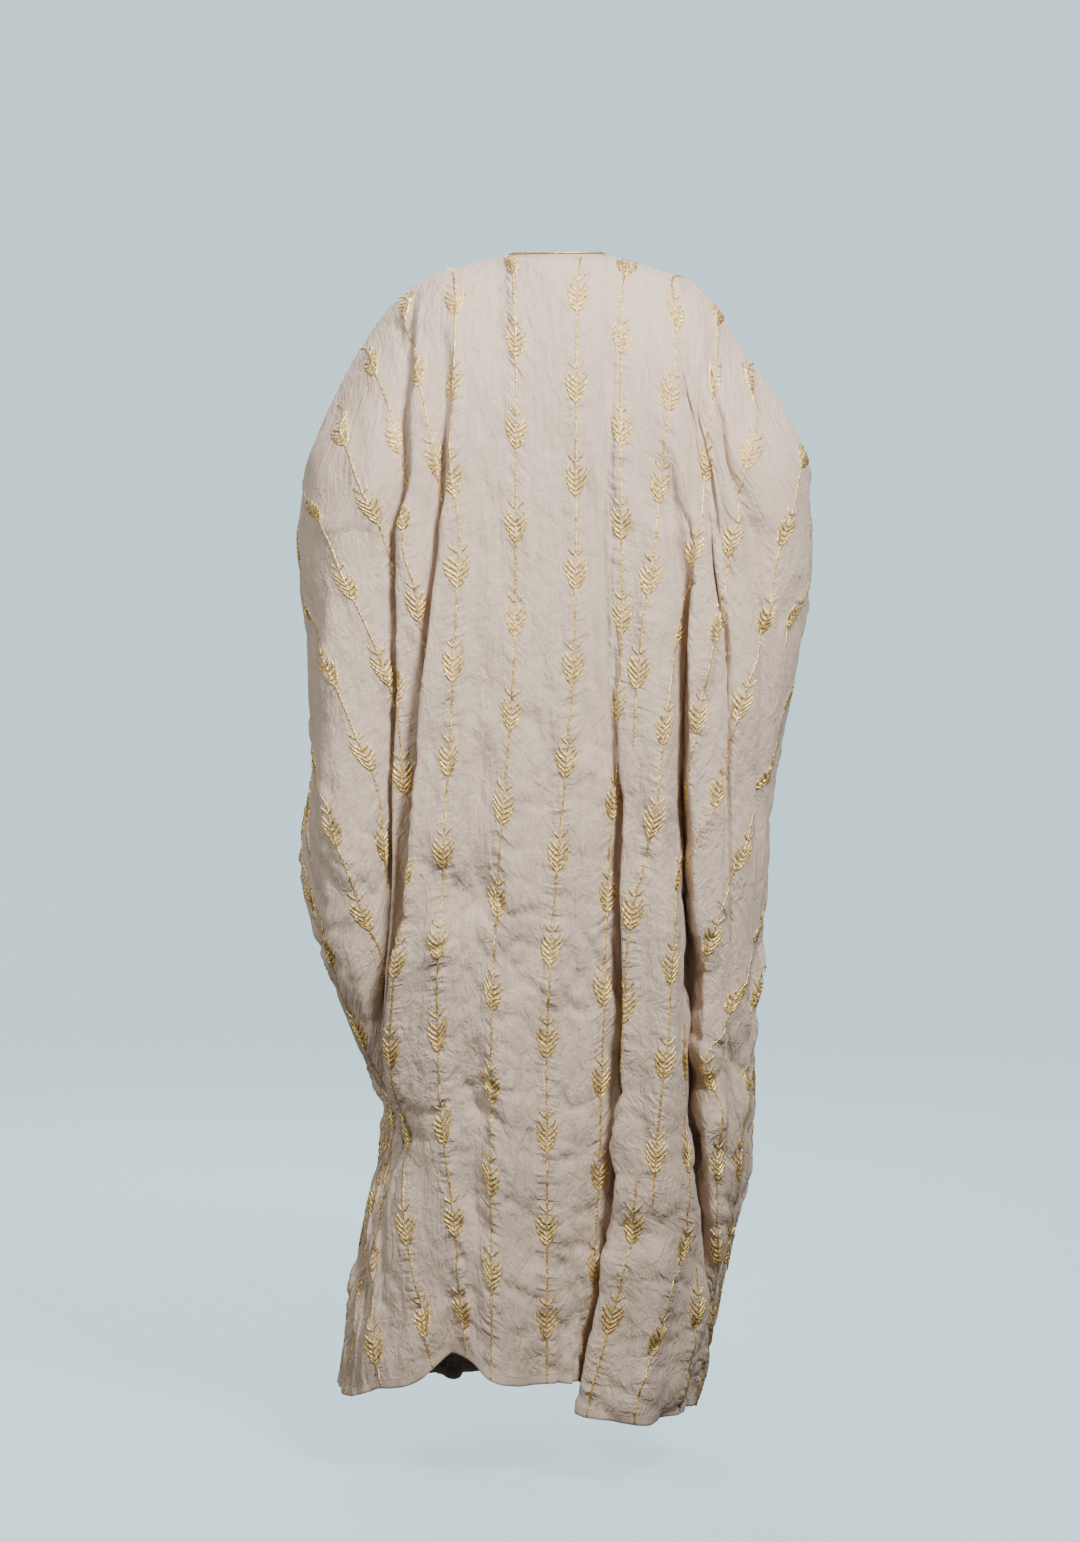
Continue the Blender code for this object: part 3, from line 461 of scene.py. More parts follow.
# Rows of embroidery. Motif is the height of the middle of one ear; path is (height, column)
EMBROIDERY_ROWS = {
    "back": (
        # name       motif   path
        ("left 1",    -335,   ((0, 10), (-230, 10.6), (-340, 10.8), (-452, 10.5), (-563, 10.7),
                               (-677, 11.7), (-789, 12.4), (-905, 11.9), (-1019, 11.1), (-1127, 10.6),
                               (-1237, 10.3), (-1440, 10))),
        ("left 2",    -277,   ((0, 22.5), (-48, 23.8), (-114, 25.3), (-280, 26), (-392, 25.7),
                               (-506, 25.1), (-619, 24.2), (-737, 24.1), (-851, 23.2), (-960, 21.2),
                               (-1073, 18.8), (-1180, 16.4), (-1285, 14.8), (-1440, 12.5))),
        ("left 3",    -146,   ((0, 29), (-50, 32.3), (-87, 36.5), (-146, 36.6), (-221, 36.8), (-261, 35),
                               (-285, 33.8), (-340, 31.5))),
        ("left 3b",   -860,   ((-740, 30), (-793, 29.8), (-880, 29.3), (-1009, 28.8), (-1138, 26.1),
                               (-1266, 22.5), (-1341, 19.8), (-1440, 17))),
        ("left 4",    -132,   ((-103, 41.8), (-116, 43.6), (-127, 44.8), (-149, 46.4), (-204, 47.3),
                               (-235, 47.5), (-256, 47), (-321, 44), (-362, 44.1), (-423, 42),
                               (-448, 41.3), (-500, 38))),
        ("left 4b",   -1110,  ((-1120, 48), (-1173, 43), (-1242, 36.9), (-1348, 30.1), (-1381, 28.1),
                               (-1440, 26))),
        ("left 5",    -220,   ((-182, 53.5), (-220, 56.4), (-246, 56.1), (-303, 54.7), (-353, 52.3),
                               (-400, 49.5), (-470, 46.5), (-550, 43.6), (-612, 41.8), (-647, 40.9),
                               (-700, 38))),
        ("left 6",    -313,   ((0, 78), (-240, 70), (-278, 66), (-309, 61.8), (-334, 59.7), (-394, 57.4),
                               (-441, 55.8), (-475, 54.6), (-509, 53.3), (-542, 51.5), (-590, 49))),
        ("left 7",    -509,   ((0, 88), (-300, 78), (-400, 69), (-440, 64.5), (-470, 61), (-509, 59.1),
                               (-585, 56.6), (-641, 54.4), (-676, 53.1), (-726, 52.3), (-800, 50))),
        ("left 8",    -703,   ((-350, 88), (-500, 78), (-598, 69), (-640, 63), (-668, 60), (-703, 59),
                               (-770, 56.9), (-817, 55.4), (-871, 52.4), (-950, 50))),
        ("left 9",    -765,   ((-500, 92), (-650, 83), (-769, 72), (-802, 65), (-845, 62.3), (-915, 61.3),
                               (-1000, 59), (-1080, 57), (-1250, 57), (-1440, 58))),
        ("left 10",   -790,   ((-470, 96), (-620, 92), (-740, 85), (-860, 77), (-960, 71), (-1060, 68),
                               (-1250, 67), (-1440, 68))),
        ("left 11",   -900,   ((-640, 98), (-780, 94), (-920, 87), (-1040, 82), (-1150, 80), (-1440, 80))),
        ("left 12",   -980,   ((-860, 97), (-980, 93), (-1150, 91), (-1440, 92))),
        ("centre",    -505,   ((0, -4.2), (-310, -4.4), (-394, -4.4), (-502, -3.6), (-613, -2.1),
                               (-731, -0.4), (-845, 1.1), (-958, 1.7), (-1068, 1.6), (-1440, 1.4))),
        ("right 1",   -557,   ((0, -17), (-227, -21), (-328, -21.4), (-442, -21.6), (-557, -19.5),
                               (-620, -15), (-669, -11.5), (-791, -9.1), (-908, -8.1), (-1020, -8.1),
                               (-1136, -8.6), (-1440, -8.6))),
        ("right 2",   -176,   ((0, -24.8), (-15, -25.4), (-88, -29.6), (-179, -29.9), (-273, -28.8),
                               (-384, -27.3), (-451, -25.6), (-530, -24.1), (-610, -23))),
        ("right 3",   -154,   ((-45, -32), (-61, -34.1), (-79, -36.5), (-97, -38.7), (-133, -41.6),
                               (-172, -43.5), (-271, -45.5), (-345, -43.4), (-389, -40.1), (-493, -31.4),
                               (-574, -28.8), (-686, -26), (-772, -22.9), (-809, -22.3), (-911, -21.2),
                               (-1000, -20.5))),
        ("right 3b",  -1179,  ((-1118, -22.7), (-1179, -22.2), (-1235, -21.5), (-1291, -20.7),
                               (-1344, -20.2), (-1440, -19.4))),
        ("right 4",   -246,   ((-95, -40), (-114, -43.1), (-134, -45.9), (-149, -48), (-167, -50.7),
                               (-185, -53), (-220, -55.3), (-276, -55.5), (-327, -55.3), (-369, -53.8),
                               (-413, -52.3), (-474, -45.7), (-542, -43.3), (-601, -42.3), (-687, -38.6),
                               (-764, -30.3), (-815, -28.5), (-897, -27.1), (-946, -26.6), (-1012, -25.6),
                               (-1066, -25.1), (-1119, -24.8), (-1162, -24.5))),
        ("right 5",   -338,   ((-200, -58), (-218, -59.8), (-238, -61.9), (-265, -61.8), (-297, -61.2),
                               (-371, -59.1), (-451, -57.9), (-520, -55.6), (-563, -53.7), (-591, -52.4),
                               (-669, -45.4), (-702, -43.2), (-760, -40))),
        ("right 5b",  -1209,  ((-940, -30), (-977, -30.2), (-1033, -30.5), (-1090, -30.3), (-1154, -29.5),
                               (-1209, -29), (-1260, -26.9), (-1314, -25.9), (-1370, -24.5), (-1440, -24))),
        ("right 5c",  -1290,  ((-1240, -32.6), (-1286, -31.8), (-1342, -31.1), (-1400, -30.8),
                               (-1440, -30.8))),
        ("right 6",   -440,   ((0, -74), (-300, -71), (-399, -65.8), (-437, -62.3), (-472, -60.4),
                               (-490, -60))),
        ("right 6b",  -641,   ((-520, -67), (-558, -63), (-603, -62.7), (-641, -61.1), (-678, -58),
                               (-719, -56.2), (-753, -53.7), (-777, -49.7), (-804, -45.4), (-848, -43.8),
                               (-900, -42))),
        ("right 7",   -833,   ((0, -84), (-500, -80), (-700, -74), (-804, -69), (-837, -64.6),
                               (-863, -59.4), (-893, -57.5), (-933, -50), (-960, -45.2), (-1048, -45),
                               (-1133, -44.3), (-1234, -43.8), (-1275, -45), (-1440, -46.5))),
        ("right 8",   -700,   ((-350, -91), (-600, -86), (-800, -78), (-940, -66), (-1060, -58),
                               (-1200, -57), (-1440, -58))),
        ("right 9",   -800,   ((-400, -97), (-600, -93), (-800, -87), (-1000, -79), (-1200, -75),
                               (-1440, -75))),
        ("right 10",  -1000,  ((-800, -98), (-1000, -94), (-1200, -91), (-1440, -90))),
    ),
}

# Rows on the fronts: each path above is the same on both, and goes on below in its own way
FRONT_ROWS = (
    # name    motif  above, below on the left, below on the right
    ("edge",  -300,  ((0, 5.5), (-350, 6), (-900, 6.5)), ((-1440, 6.5),), ((-1440, 7),)),
    ("row 2", -240,  ((0, 16.5), (-70, 17.8), (-140, 18.7), (-220, 19.3), (-350, 19), (-900, 19)),
                     ((-1440, 19),), ((-1440, 20),)),
    ("row 3", -300,  ((0, 21), (-50, 23.3), (-100, 25.7), (-140, 27.7), (-180, 30), (-220, 31.3),
                      (-350, 32)),
                     ((-900, 32), (-1440, 32)), ((-900, 33), (-1440, 35))),
    ("row 4", -240,  ((0, 24), (-50, 28.3), (-70, 30), (-100, 32.4), (-140, 36.4), (-180, 39.8),
                      (-220, 42.2), (-260, 43.6), (-350, 44)),
                     ((-900, 45), (-1440, 45)), ((-900, 46), (-1440, 50))),
    ("row 5", -300,  ((0, 26), (-45, 31), (-70, 35), (-100, 39.3), (-140, 44), (-180, 48), (-220, 51.2),
                      (-260, 53.5), (-300, 55), (-350, 56)),
                     ((-900, 57), (-1440, 58)), ((-900, 59), (-1440, 66))),
    ("row 6", -360,  ((0, 40), (-120, 44.7), (-140, 47.3), (-180, 53), (-220, 58.7), (-260, 62.3),
                      (-300, 64.6), (-350, 66)),
                     ((-900, 69), (-1440, 70)), ((-900, 73), (-1440, 82))),
    ("row 7", -420,  ((0, 78),), ((-350, 76), (-900, 81), (-1440, 82)),
                     ((-350, 77), (-900, 86), (-1200, 93))),
    ("row 8", -480,  ((0, 89),), ((-350, 86), (-900, 92), (-1440, 93)),
                     ((-350, 88), (-700, 94), (-800, 97))),
)
for panel, below in (("front_left", 3), ("front_right", 4)):
    EMBROIDERY_ROWS[panel] = [(row[0], row[1], row[2] + row[below]) for row in FRONT_ROWS]

MOTIF_PITCH = 113.5 * MM   # from one ear to the next along a row
MOTIF_LENGTH = 52 * MM

# The ear: each stroke's start and end, out from the line and up from the ear's tip, and its widths
EAR_STROKES = (
    # name      start_out start_up end_out end_up  bulge  width
    ("barb 1",   0.4,      0.5,     8.6,   12.0,    1.2,   3.9),
    ("barb 2",   0.4,      6.5,     11.8,  19.5,    1.5,   4.0),
    ("barb 3",   0.4,      12.8,    13.8,  26.8,    1.6,   4.0),
    ("barb 4",   0.4,      19.2,    13.6,  33.6,    1.5,   3.9),
    ("barb 5",   0.4,      25.8,    10.8,  39.2,    1.2,   3.6),
    ("top",      0.6,      41.0,    9.8,   51.5,    1.0,   3.0),
)
# A stroke's profile: the share of its half width on either side, and of its height
STROKE_PROFILE = ((-1.0, -0.15), (-0.5, 1.0), (0.5, 1.0), (1.0, -0.15))
STROKE_POINTS = 6
STROKE_HEIGHT = 1.3 * MM
STROKE_SAG = 0.4                     # how far a stroke's bend goes down, for one outwards
STROKE_THIN = 0.45                   # the least share of a stroke's width, but for its end
STROKE_SWELL = (0.12, 0.87)          # which part of half a wave the width follows from start to end
STROKE_END_WIDTH = 0.35
STROKE_END_HEIGHT = 0.5
TIP_FROM_START = 0.35                # share of an ear that has to fit in above, at a row's start
TIP_FROM_END = 10 * MM
LINE_WIDTHS = (2.7 * MM, 3.4 * MM)   # the couched cord swells between its tying stitches
LINE_HEIGHT = 1.1 * MM
LINE_STEP = 3.0 * MM
CORD_PROFILE = ((-1.0, -0.1), (-0.55, 1.0), (0.55, 1.0), (1.0, -0.1))
PATH_STEPS = 6                       # steps that find where a row crosses each row of the grid
PULL_REACH = 14 * MM                 # how far a row draws up the cloth beside it, and its fade at its ends
PULL_FADE = 30 * MM

HEM_DEPTH = 12 * MM
HEM_ROWS = 8               # rows over which the slope at the hem is measured
STITCH_LENGTH = 2.7 * MM
STITCH_GAP = 1.1 * MM
STITCH_WIDTH = 0.7 * MM
STITCH_FROM_EDGE = 11.5 * MM
STITCH_OFF = 0.35 * MM     # how far a stitch stands off the cloth
STITCH_PROFILE = ((0.0, -0.1), (0.3, 0.75), (0.7, 0.75), (1.0, -0.1))   # share of length, and height

# The turned edge's profile: how far into the cloth, and how far off its face
TURNED_EDGE = ((10.5, 0.35), (3.0, 0.35), (0.0, 0.1), (-0.5, -0.6), (0.1, -1.5), (5.0, -1.8), (11.0, -1.7),
               (12.4, -0.7))

# The binding's profile: in towards the neck, and up from the neck edge
BAND_PROFILE = ((-0.4, -2.5), (-0.5, 0.5), (-0.3, 3.0), (0.0, 5.5), (0.5, 7.4), (1.2, 8.0), (2.0, 7.5),
                (2.4, 5.5), (2.5, 3.0), (2.5, 0.5), (2.4, -2.5))
BAND_STEP = 2.5 * MM
BAND_BLUR = 4
BAND_CORD_UP = 6.6 * MM
BAND_CORD_OFF = 0.6 * MM
BAND_CORD_SIZE = 0.7       # for one of the couched cord
CORD_SIDES = 6
BACK_NECK_REACH = 0.98     # the back's share of its neckline, so that no point is there twice
NECK_MIDDLE_Y = -7 * MM

# Colours: the linens' main one and their shade, the gold from painted shade (dark brown) to painted glints
# (bright gold), and the sewing thread's two
CLOTH_COLOURS = ((0.66, 0.527, 0.418, 1), (0.48, 0.37, 0.28, 1))
BAND_COLOURS = ((0.54, 0.45, 0.37, 1), (0.42, 0.34, 0.28, 1))
GOLD_SHADE_TO_GLINT = ((0.40, (0.40, 0.24, 0.06, 1.0)), (0.60, (1.0, 0.77, 0.32, 1.0)))
COTTON_COLOURS = ((0.56, 0.46, 0.37, 1), (0.74, 0.64, 0.54, 1))
BACKDROP_COLOUR = (0.13, 0.182, 0.200, 1)

# Lights and studio, in metres, watts and degrees
LIGHTS = (
    # name    place               target          size  power  colour              spread
    ("key",   (-1.35, 2.45, 1.8), (0, 0.1, 0.12), 0.9,  43,    (1.0, 0.985, 0.97), 66),
    ("fill",  (2.2, 2.0, 0.9),    (0, 0.1, -0.2), 1.6,  68,    (1.0, 0.99, 0.98),  180),
    ("front", (0.8, -3.0, 1.4),   (0, 0, -0.6),   1.8,  110,   (1.0, 0.985, 0.97), 180),
)
BOWL_FLOOR = 6.0           # radius of the flat floor, and of the turn up into the wall
BOWL_TURN = 2.5

FOCAL_PIXELS = 2724
PICTURE_HEIGHT_PIXELS = 1542
CAMERA_PLACE = (0.020, 3.405, -0.636)
FLOOR_Z = -1.500
SENSOR = 36.0


# Curves and rings

def smooth(knots, values, at, start_flat=False):
    """Values between the knots on a cubic whose slope at each knot joins its two neighbours."""
    knots = np.asarray(knots, float)
    values = np.asarray(values, float)
    at = np.asarray(at, float)
    slopes = np.gradient(values, knots, axis=0)
    if start_flat:
        slopes[0] = 0.0
    i = np.clip(np.searchsorted(knots, at, side="right") - 1, 0, len(knots) - 2)
    width = knots[i + 1] - knots[i]
    u = np.clip((at - knots[i]) / width, 0.0, 1.0)
    extra = (1,) * (values.ndim - 1)
    u = u.reshape(u.shape + extra)
    width = width.reshape(width.shape + extra)
    return ((2 * u**3 - 3 * u**2 + 1) * values[i] + (u**3 - 2 * u**2 + u) * width * slopes[i]
            + (3 * u**2 - 2 * u**3) * values[i + 1] + (u**3 - u**2) * width * slopes[i + 1])


def bump(u):
    """One at the middle, and none from a distance of one on: (1 - u squared) squared."""
    return np.clip(1.0 - u * u, 0.0, None) ** 2


def eased(u):
    """Nothing below 0, one above 1, and a smooth step between: 3 u squared less 2 u cubed."""
    u = np.clip(u, 0.0, 1.0)
    return u * u * (3 - 2 * u)


def between(start, end, share):
    """The value that lies a share of the way from start to end."""
    return start + share * (end - start)


def unit(vectors):
    """Each vector divided by its own length."""
    return vectors / np.maximum(np.linalg.norm(vectors, axis=-1, keepdims=True), 1e-12)


def across(vectors, along):
    """The part of each vector that is square to the unit vectors along."""
    return vectors - along * np.sum(vectors * along, axis=-1, keepdims=True)


def run_along(points, axis=0):
    """The distance along each line of points from its first one: the running sum of the steps' lengths."""
    steps = np.linalg.norm(np.diff(points, axis=axis), axis=-1)
    return np.insert(np.cumsum(steps, axis=axis), 0, 0.0, axis=axis)


def read_along(at, run, values):
    """Rows of values that are given at the distances run, read at other distances on straight lines."""
    return np.stack([np.interp(at, run, column) for column in values.T], axis=-1)


def by_height(table, heights):
    """A table's columns at the wanted heights, in metres: smooth curves through its rows."""
    table = np.array(table, float) * MM
    return smooth(-table[:, 0], table[:, 1:], -heights, start_flat=True)


def cuff_opening(heights):
    """How far the cuff's two halves stand apart from the seam's line: the root of half a sine wave, from
    the cuff's top to its lower end."""
    down = np.clip((heights - CUFF_TOP_Z) / (CUFF_BOTTOM_Z - CUFF_TOP_Z), 0.0, 1.0)
    return CUFF_HALF_OPENING * np.sqrt(np.sin(math.pi * down).clip(0.0, 1.0))


def back_ring_points(side, heights):
    """The few points that lead the back's ring at each height: the centre, two round the corner at shares
    of the side's x and the centre's y, the side, and the seam moved out by the cuff's opening."""
    back_y, side_x, side_y, seam_x, seam_y = by_height(BACK_RINGS[side], heights).T
    points = [(0 * side_x, back_y)]
    points += [(side_x * share_x, back_y * share_y) for share_x, share_y in BACK_CORNER]
    points += [(side_x, side_y), (seam_x + cuff_opening(heights), seam_y)]
    return np.array(points).transpose(2, 0, 1)


def front_ring_points(side, heights):
    """The same for a front: its edge, the chest, a corner, the crook inside the elbow, a point on the way
    to the seam, and the seam moved in by the cuff's opening."""
    edge_x, front_y, chest_x, chest_y, crook_x, crook_y = by_height(FRONT_RINGS[side], heights).T
    seam_x, seam_y = by_height(BACK_RINGS[side], heights).T[3:]
    inner_x = seam_x - cuff_opening(heights)
    points = [(edge_x, front_y), (chest_x, chest_y),
              (between(chest_x, crook_x, FRONT_CORNER[0]), between(chest_y, crook_y, FRONT_CORNER[1])),
              (crook_x, crook_y),
              (between(crook_x, inner_x, CROOK_TO_SEAM[0]), between(crook_y, seam_y, CROOK_TO_SEAM[1])),
              (inner_x, seam_y)]
    return np.array(points).transpose(2, 0, 1)


def even_rings(points, knots):
    """Each height's ring as points evenly spaced along the smooth curve through its leading points, and
    the ring's length."""
    fine = np.linspace(knots[0], knots[-1], RING_STEPS + 1)
    curve = smooth(knots, points.transpose(1, 0, 2), fine).transpose(1, 0, 2)
    run = run_along(curve, axis=1)
    shares = np.linspace(0.0, 1.0, RING_STEPS + 1)
    return np.array([read_along(shares * r[-1], r, c) for r, c in zip(run, curve)]), run[:, -1]


def fold_rows(folds, panel, heights):
    """Each fold's place and depth as smooth curves of height, then its widths, its lean, all in metres,
    and whether it leads a column."""
    knots = -np.array(FOLD_HEIGHTS[panel], float) * MM
    for _name, place, depth, inner, outer, lean, led in folds:
        yield (smooth(knots, np.array(place) * MM, -heights, start_flat=True),
               smooth(knots, np.array(depth) * MM, -heights, start_flat=True),
               inner * MM, outer * MM, lean * MM, led)


def column_places(length, led_folds, shares_wanted):
    """Distances round each ring at which the columns lie. A led fold keeps to one column, and the columns
    crowd together near it if it is steep. The places are the mean of a few samples on either hand, so
    that the columns don't kink at a fold."""
    middle = HEIGHT_STEPS // 2
    last = led_folds[-1][0]
    elbow = last + ELBOW_PLACE * (length - last)
    shares = np.array([place[middle] / elbow[middle] for place, _steep in led_folds]) * ELBOW_SHARE
    fine = np.linspace(0.0, 1.0, RING_STEPS + 1)
    crowd = np.ones_like(fine)
    for share, (_place, steep) in zip(shares, led_folds):
        if steep < STEEP_WIDTH:
            crowd += CROWDING * bump((fine - share) * length[middle] / (CROWDED_WIDTH * steep))
    run = np.concatenate([[0.0], np.cumsum((crowd[1:] + crowd[:-1]) / 2)])
    at_elbow = np.interp(ELBOW_SHARE, fine, run)
    run = np.interp(run, (0.0, at_elbow, run[-1]), (0.0, ELBOW_SHARE, 1.0))
    wanted = np.interp(shares_wanted, run, fine)
    knots = np.concatenate([[0.0], shares, [ELBOW_SHARE, 1.0]])
    places = np.array([0 * length, *(place for place, _steep in led_folds), elbow, length]).T
    reach = np.minimum(COLUMN_BLUR, np.minimum(wanted, 1.0 - wanted))
    samples = [np.array([np.interp(wanted + reach * away, knots, at_height) for at_height in places])
               for away in np.linspace(-1.0, 1.0, COLUMN_SAMPLES)]
    return np.mean(samples, axis=0)


def folded_rings(points, knots, folds, heights, shares, front):
    """The rings with their folds, sampled at the panel's columns, and the first ring without them. A fold
    is a smooth dip across the ring, with its own width on each side of its lowest line. Where it leans,
    the cloth on its wide side dives under the other side along a cusp."""
    even, length = even_rings(points, knots)
    along = np.linspace(0.0, 1.0, RING_STEPS + 1)[None, :] * length[:, None]
    dip = np.zeros_like(along)
    shift = np.zeros_like(along)
    led_folds = []
    for place, depth, inner, outer, lean, led in fold_rows(folds, "front" if front else "back", heights):
        away = along - place[:, None]
        u = away / np.where(away < 0, inner, outer)
        profile = bump(u)
        if lean:
            diving = (away > 0) == (lean > 0)
            profile = np.where(diving, np.clip(1.0 - np.abs(u), 0.0, None) ** CUSP, profile)
        dip += depth[:, None] * profile
        steep = min(inner, outer)
        crest = away + (inner if lean > 0 else -outer)
        strength = np.clip(depth / FULL_LEAN_DEPTH, 0.0, 1.0)[:, None]
        shift += lean * strength * bump(crest / (LEAN_WIDTH * steep))
        if led:
            led_folds.append((place, steep))
    fade = np.clip((length[:, None] - along) / EDGE_FADE, 0.0, 1.0)
    tangent = unit(np.gradient(even, axis=1))
    normal = (-1 if front else 1) * np.stack([-tangent[..., 1], tangent[..., 0]], axis=2)
    folded = even + (tangent * shift[..., None] - normal * dip[..., None]) * fade[..., None]
    wanted = column_places(length, led_folds, shares)
    rings = np.array([read_along(w, a, f) for w, a, f in zip(wanted, along, folded)])
    return rings, read_along(wanted[0], along[0], even[0])


def yoke_folds(side, ring, bare, shares, z):
    """How far the folds of the first ring move each point of the yoke, in plan. Each point takes the
    ring's offset, turned to its own direction, from the column that its fold line has on the ring."""
    ahead = unit(np.gradient(bare, axis=0))
    square = np.stack([-ahead[:, 1], ahead[:, 0]], axis=1)
    offset = ring - bare
    along, out = np.sum(offset * ahead, axis=1), np.sum(offset * square, axis=1)
    table = np.array(YOKE_LINES[side], float)
    table[:, 1:3] /= SIDE_COLUMN
    ring_inner, ring_outer = table[0, 1:3]
    at_height = smooth(table[:, 0] * MM, table[:, 1:], z, start_flat=True).clip(0)
    inner, outer, inner_left, outer_left = np.moveaxis(at_height, -1, 0)
    share = shares[None, :] + 0 * z
    source = np.where(share < inner, share * ring_inner / inner,
                      np.where(share < outer,
                               between(ring_inner, ring_outer, (share - inner) / (outer - inner)),
                               between(ring_outer, 1.0, (share - outer) / (1 - outer))))
    left = between(inner_left, outer_left,
                   eased((source - ring_inner) / (ring_outer - ring_inner)))
    return (ahead[None] * (left * np.interp(source, shares, along))[..., None]
            + square[None] * (left * np.interp(source, shares, out))[..., None])


def top_edge(side, front, shares):
    """The neckline's quarter ellipse, then the smooth line over the shoulder and along the sleeve."""
    x_column = 1 if side == "left" else 2
    points = np.array([(row[x_column], *row[3:]) for row in SLEEVE_TOP], float) * MM
    knots = run_along(points)
    sleeve = smooth(knots, points, (shares - NECK_SHARE) / (1 - NECK_SHARE) * knots[-1])
    turn = np.clip(shares / NECK_SHARE, 0.0, 1.0) * 0.5 * math.pi
    side_x, _side_y, side_z = points[0]
    y = NECK_FRONT_Y if front else NECK_BACK_Y
    z = NECK_FRONT_Z if front else NECK_BACK_Z
    start = FRONT_EDGE_X if front else 0.0
    neck = np.stack([start + (side_x - start) * np.sin(turn), y * np.cos(turn),
                     z + (side_z - z) * (1 - np.cos(turn))], axis=1)
    return np.where((shares < NECK_SHARE)[:, None], neck, sleeve)


def half_panel(side, front):
    """One half of the garment as a grid of rows and columns, the inner face of its cloth.

    The yoke rolls from the top edge on to the first ring along a superellipse, and the skirt follows the
    folded rings down to the hem."""
    columns = FRONT_COLUMNS if front else BACK_COLUMNS
    shares = np.linspace(0.0, 1.0, columns + 1)
    heights = np.linspace(RING_TOP_Z, RING_END_Z, HEIGHT_STEPS + 1)
    if front:
        points, knots, folds = front_ring_points(side, heights), FRONT_KNOTS, FRONT_FOLDS[side]
    else:
        points, knots, folds = back_ring_points(side, heights), BACK_KNOTS, BACK_FOLDS[side]
    rings, bare = folded_rings(points, knots, folds, heights, shares, front)
    top = top_edge(side, front, shares)
    hem_shares, hem_heights = np.array(HEMS[("front " if front else "back ") + side]).T
    hem = smooth(hem_shares, hem_heights * MM, shares)

    turn = np.linspace(0.0, 0.5 * math.pi, YOKE_STEPS)
    out = np.sin(turn) ** (2 / YOKE_ROUNDNESS)
    down = 1 - np.cos(turn) ** (2 / YOKE_ROUNDNESS)
    run = run_along(np.stack([out * YOKE_REACH, down * YOKE_FALL], axis=1))
    even = np.linspace(0.0, run[-1], YOKE_ROWS + 1)
    out, down = np.interp(even, run, out), np.interp(even, run, down)
    yoke = np.empty((YOKE_ROWS + 1, columns + 1, 3))
    yoke[..., 2] = top[None, :, 2] + down[:, None] * (RING_TOP_Z - top[:, 2])[None]
    if front:
        yoke[..., :2] = top[None, :, :2] + out[:, None, None] * (rings[0] - top[:, :2])[None]
    else:
        moved = yoke_folds(side, rings[0], bare, shares, yoke[..., 2])
        yoke[..., :2] = top[None, :, :2] + out[:, None, None] * ((bare - top[:, :2])[None] + moved)

    fall = np.linspace(0.0, 1.0, SKIRT_ROWS + 1)[1:]
    z = RING_TOP_Z + fall[:, None] * (hem - RING_TOP_Z)[None, :]
    place = (z - heights[0]) / (heights[-1] - heights[0]) * HEIGHT_STEPS
    low = np.clip(place.astype(int), 0, HEIGHT_STEPS - 1)
    part = (place - low)[..., None]
    column = np.arange(columns + 1)[None, :]
    skirt = np.concatenate([rings[low, column] * (1 - part) + rings[low + 1, column] * part,
                            z[..., None]], axis=2)
    return np.concatenate([yoke, skirt])


# Cloth: a panel with its creases, and what is needed to place thread on it

def grid_normals(grid):
    """Unit vectors square to a grid: the cross product of its steps along a row and down a column."""
    return unit(np.cross(np.gradient(grid, axis=1), np.gradient(grid, axis=0)))


def sew(back, front):
    """Both panels' outward directions, with one common direction along the edges they share: the mean of
    the two, which leans upwards along the shoulder and sleeve."""
    out_back, out_front = grid_normals(back), -grid_normals(front)
    back_shares = np.linspace(0, 1, back.shape[1])
    front_shares = np.linspace(0, 1, front.shape[1])
    near = read_along(back_shares, front_shares, out_front[0])
    common = unit(unit(out_back[0] + near) + [0, 0, SEAM_LIFT])
    on_seam = back_shares >= NECK_SHARE
    out_back[0, on_seam] = common[on_seam]
    on_seam = front_shares >= NECK_SHARE
    out_front[0, on_seam] = unit(read_along(front_shares, back_shares, common))[on_seam]
    sewn = np.abs(back[:, -1] - front[:, -1]).max(axis=1) < SEWN_WITHIN
    side = unit(out_back[:, -1] + out_front[:, -1])
    out_back[sewn, -1] = side[sewn]
    out_front[sewn, -1] = side[sewn]
    return out_back, out_front


def blurred(field, rows, columns):
    """The mean over a window that reaches so many rows and columns each way, with the edges repeated."""
    for axis, reach in ((0, rows), (1, columns)):
        if reach < 1:
            continue
        padding = [(0, 0)] * field.ndim
        padding[axis] = (reach + 1, reach)
        total = np.cumsum(np.pad(field, padding, mode="edge"), axis=axis)
        width = 2 * reach + 1
        length = field.shape[axis]
        field = (np.take(total, range(width, width + length), axis=axis)
                 - np.take(total, range(0, length), axis=axis)) / width
    return field


def soft_noise(shape, cell, seed):
    """Smooth noise from -3 to 3 or so: white noise kept to waves near cell rows and columns long, each
    wave by a bell curve of how far its length is from that."""
    white = np.random.default_rng(seed).standard_normal(shape)
    rows = np.fft.fftfreq(shape[0])[:, None] * cell[0]
    columns = np.fft.rfftfreq(shape[1])[None, :] * cell[1]
    kept = np.exp(-((np.hypot(rows, columns) - NOISE_MIDDLE) / NOISE_WIDTH) ** 2)
    field = np.fft.irfft2(np.fft.rfft2(white) * kept, s=shape)
    return field / field.std()


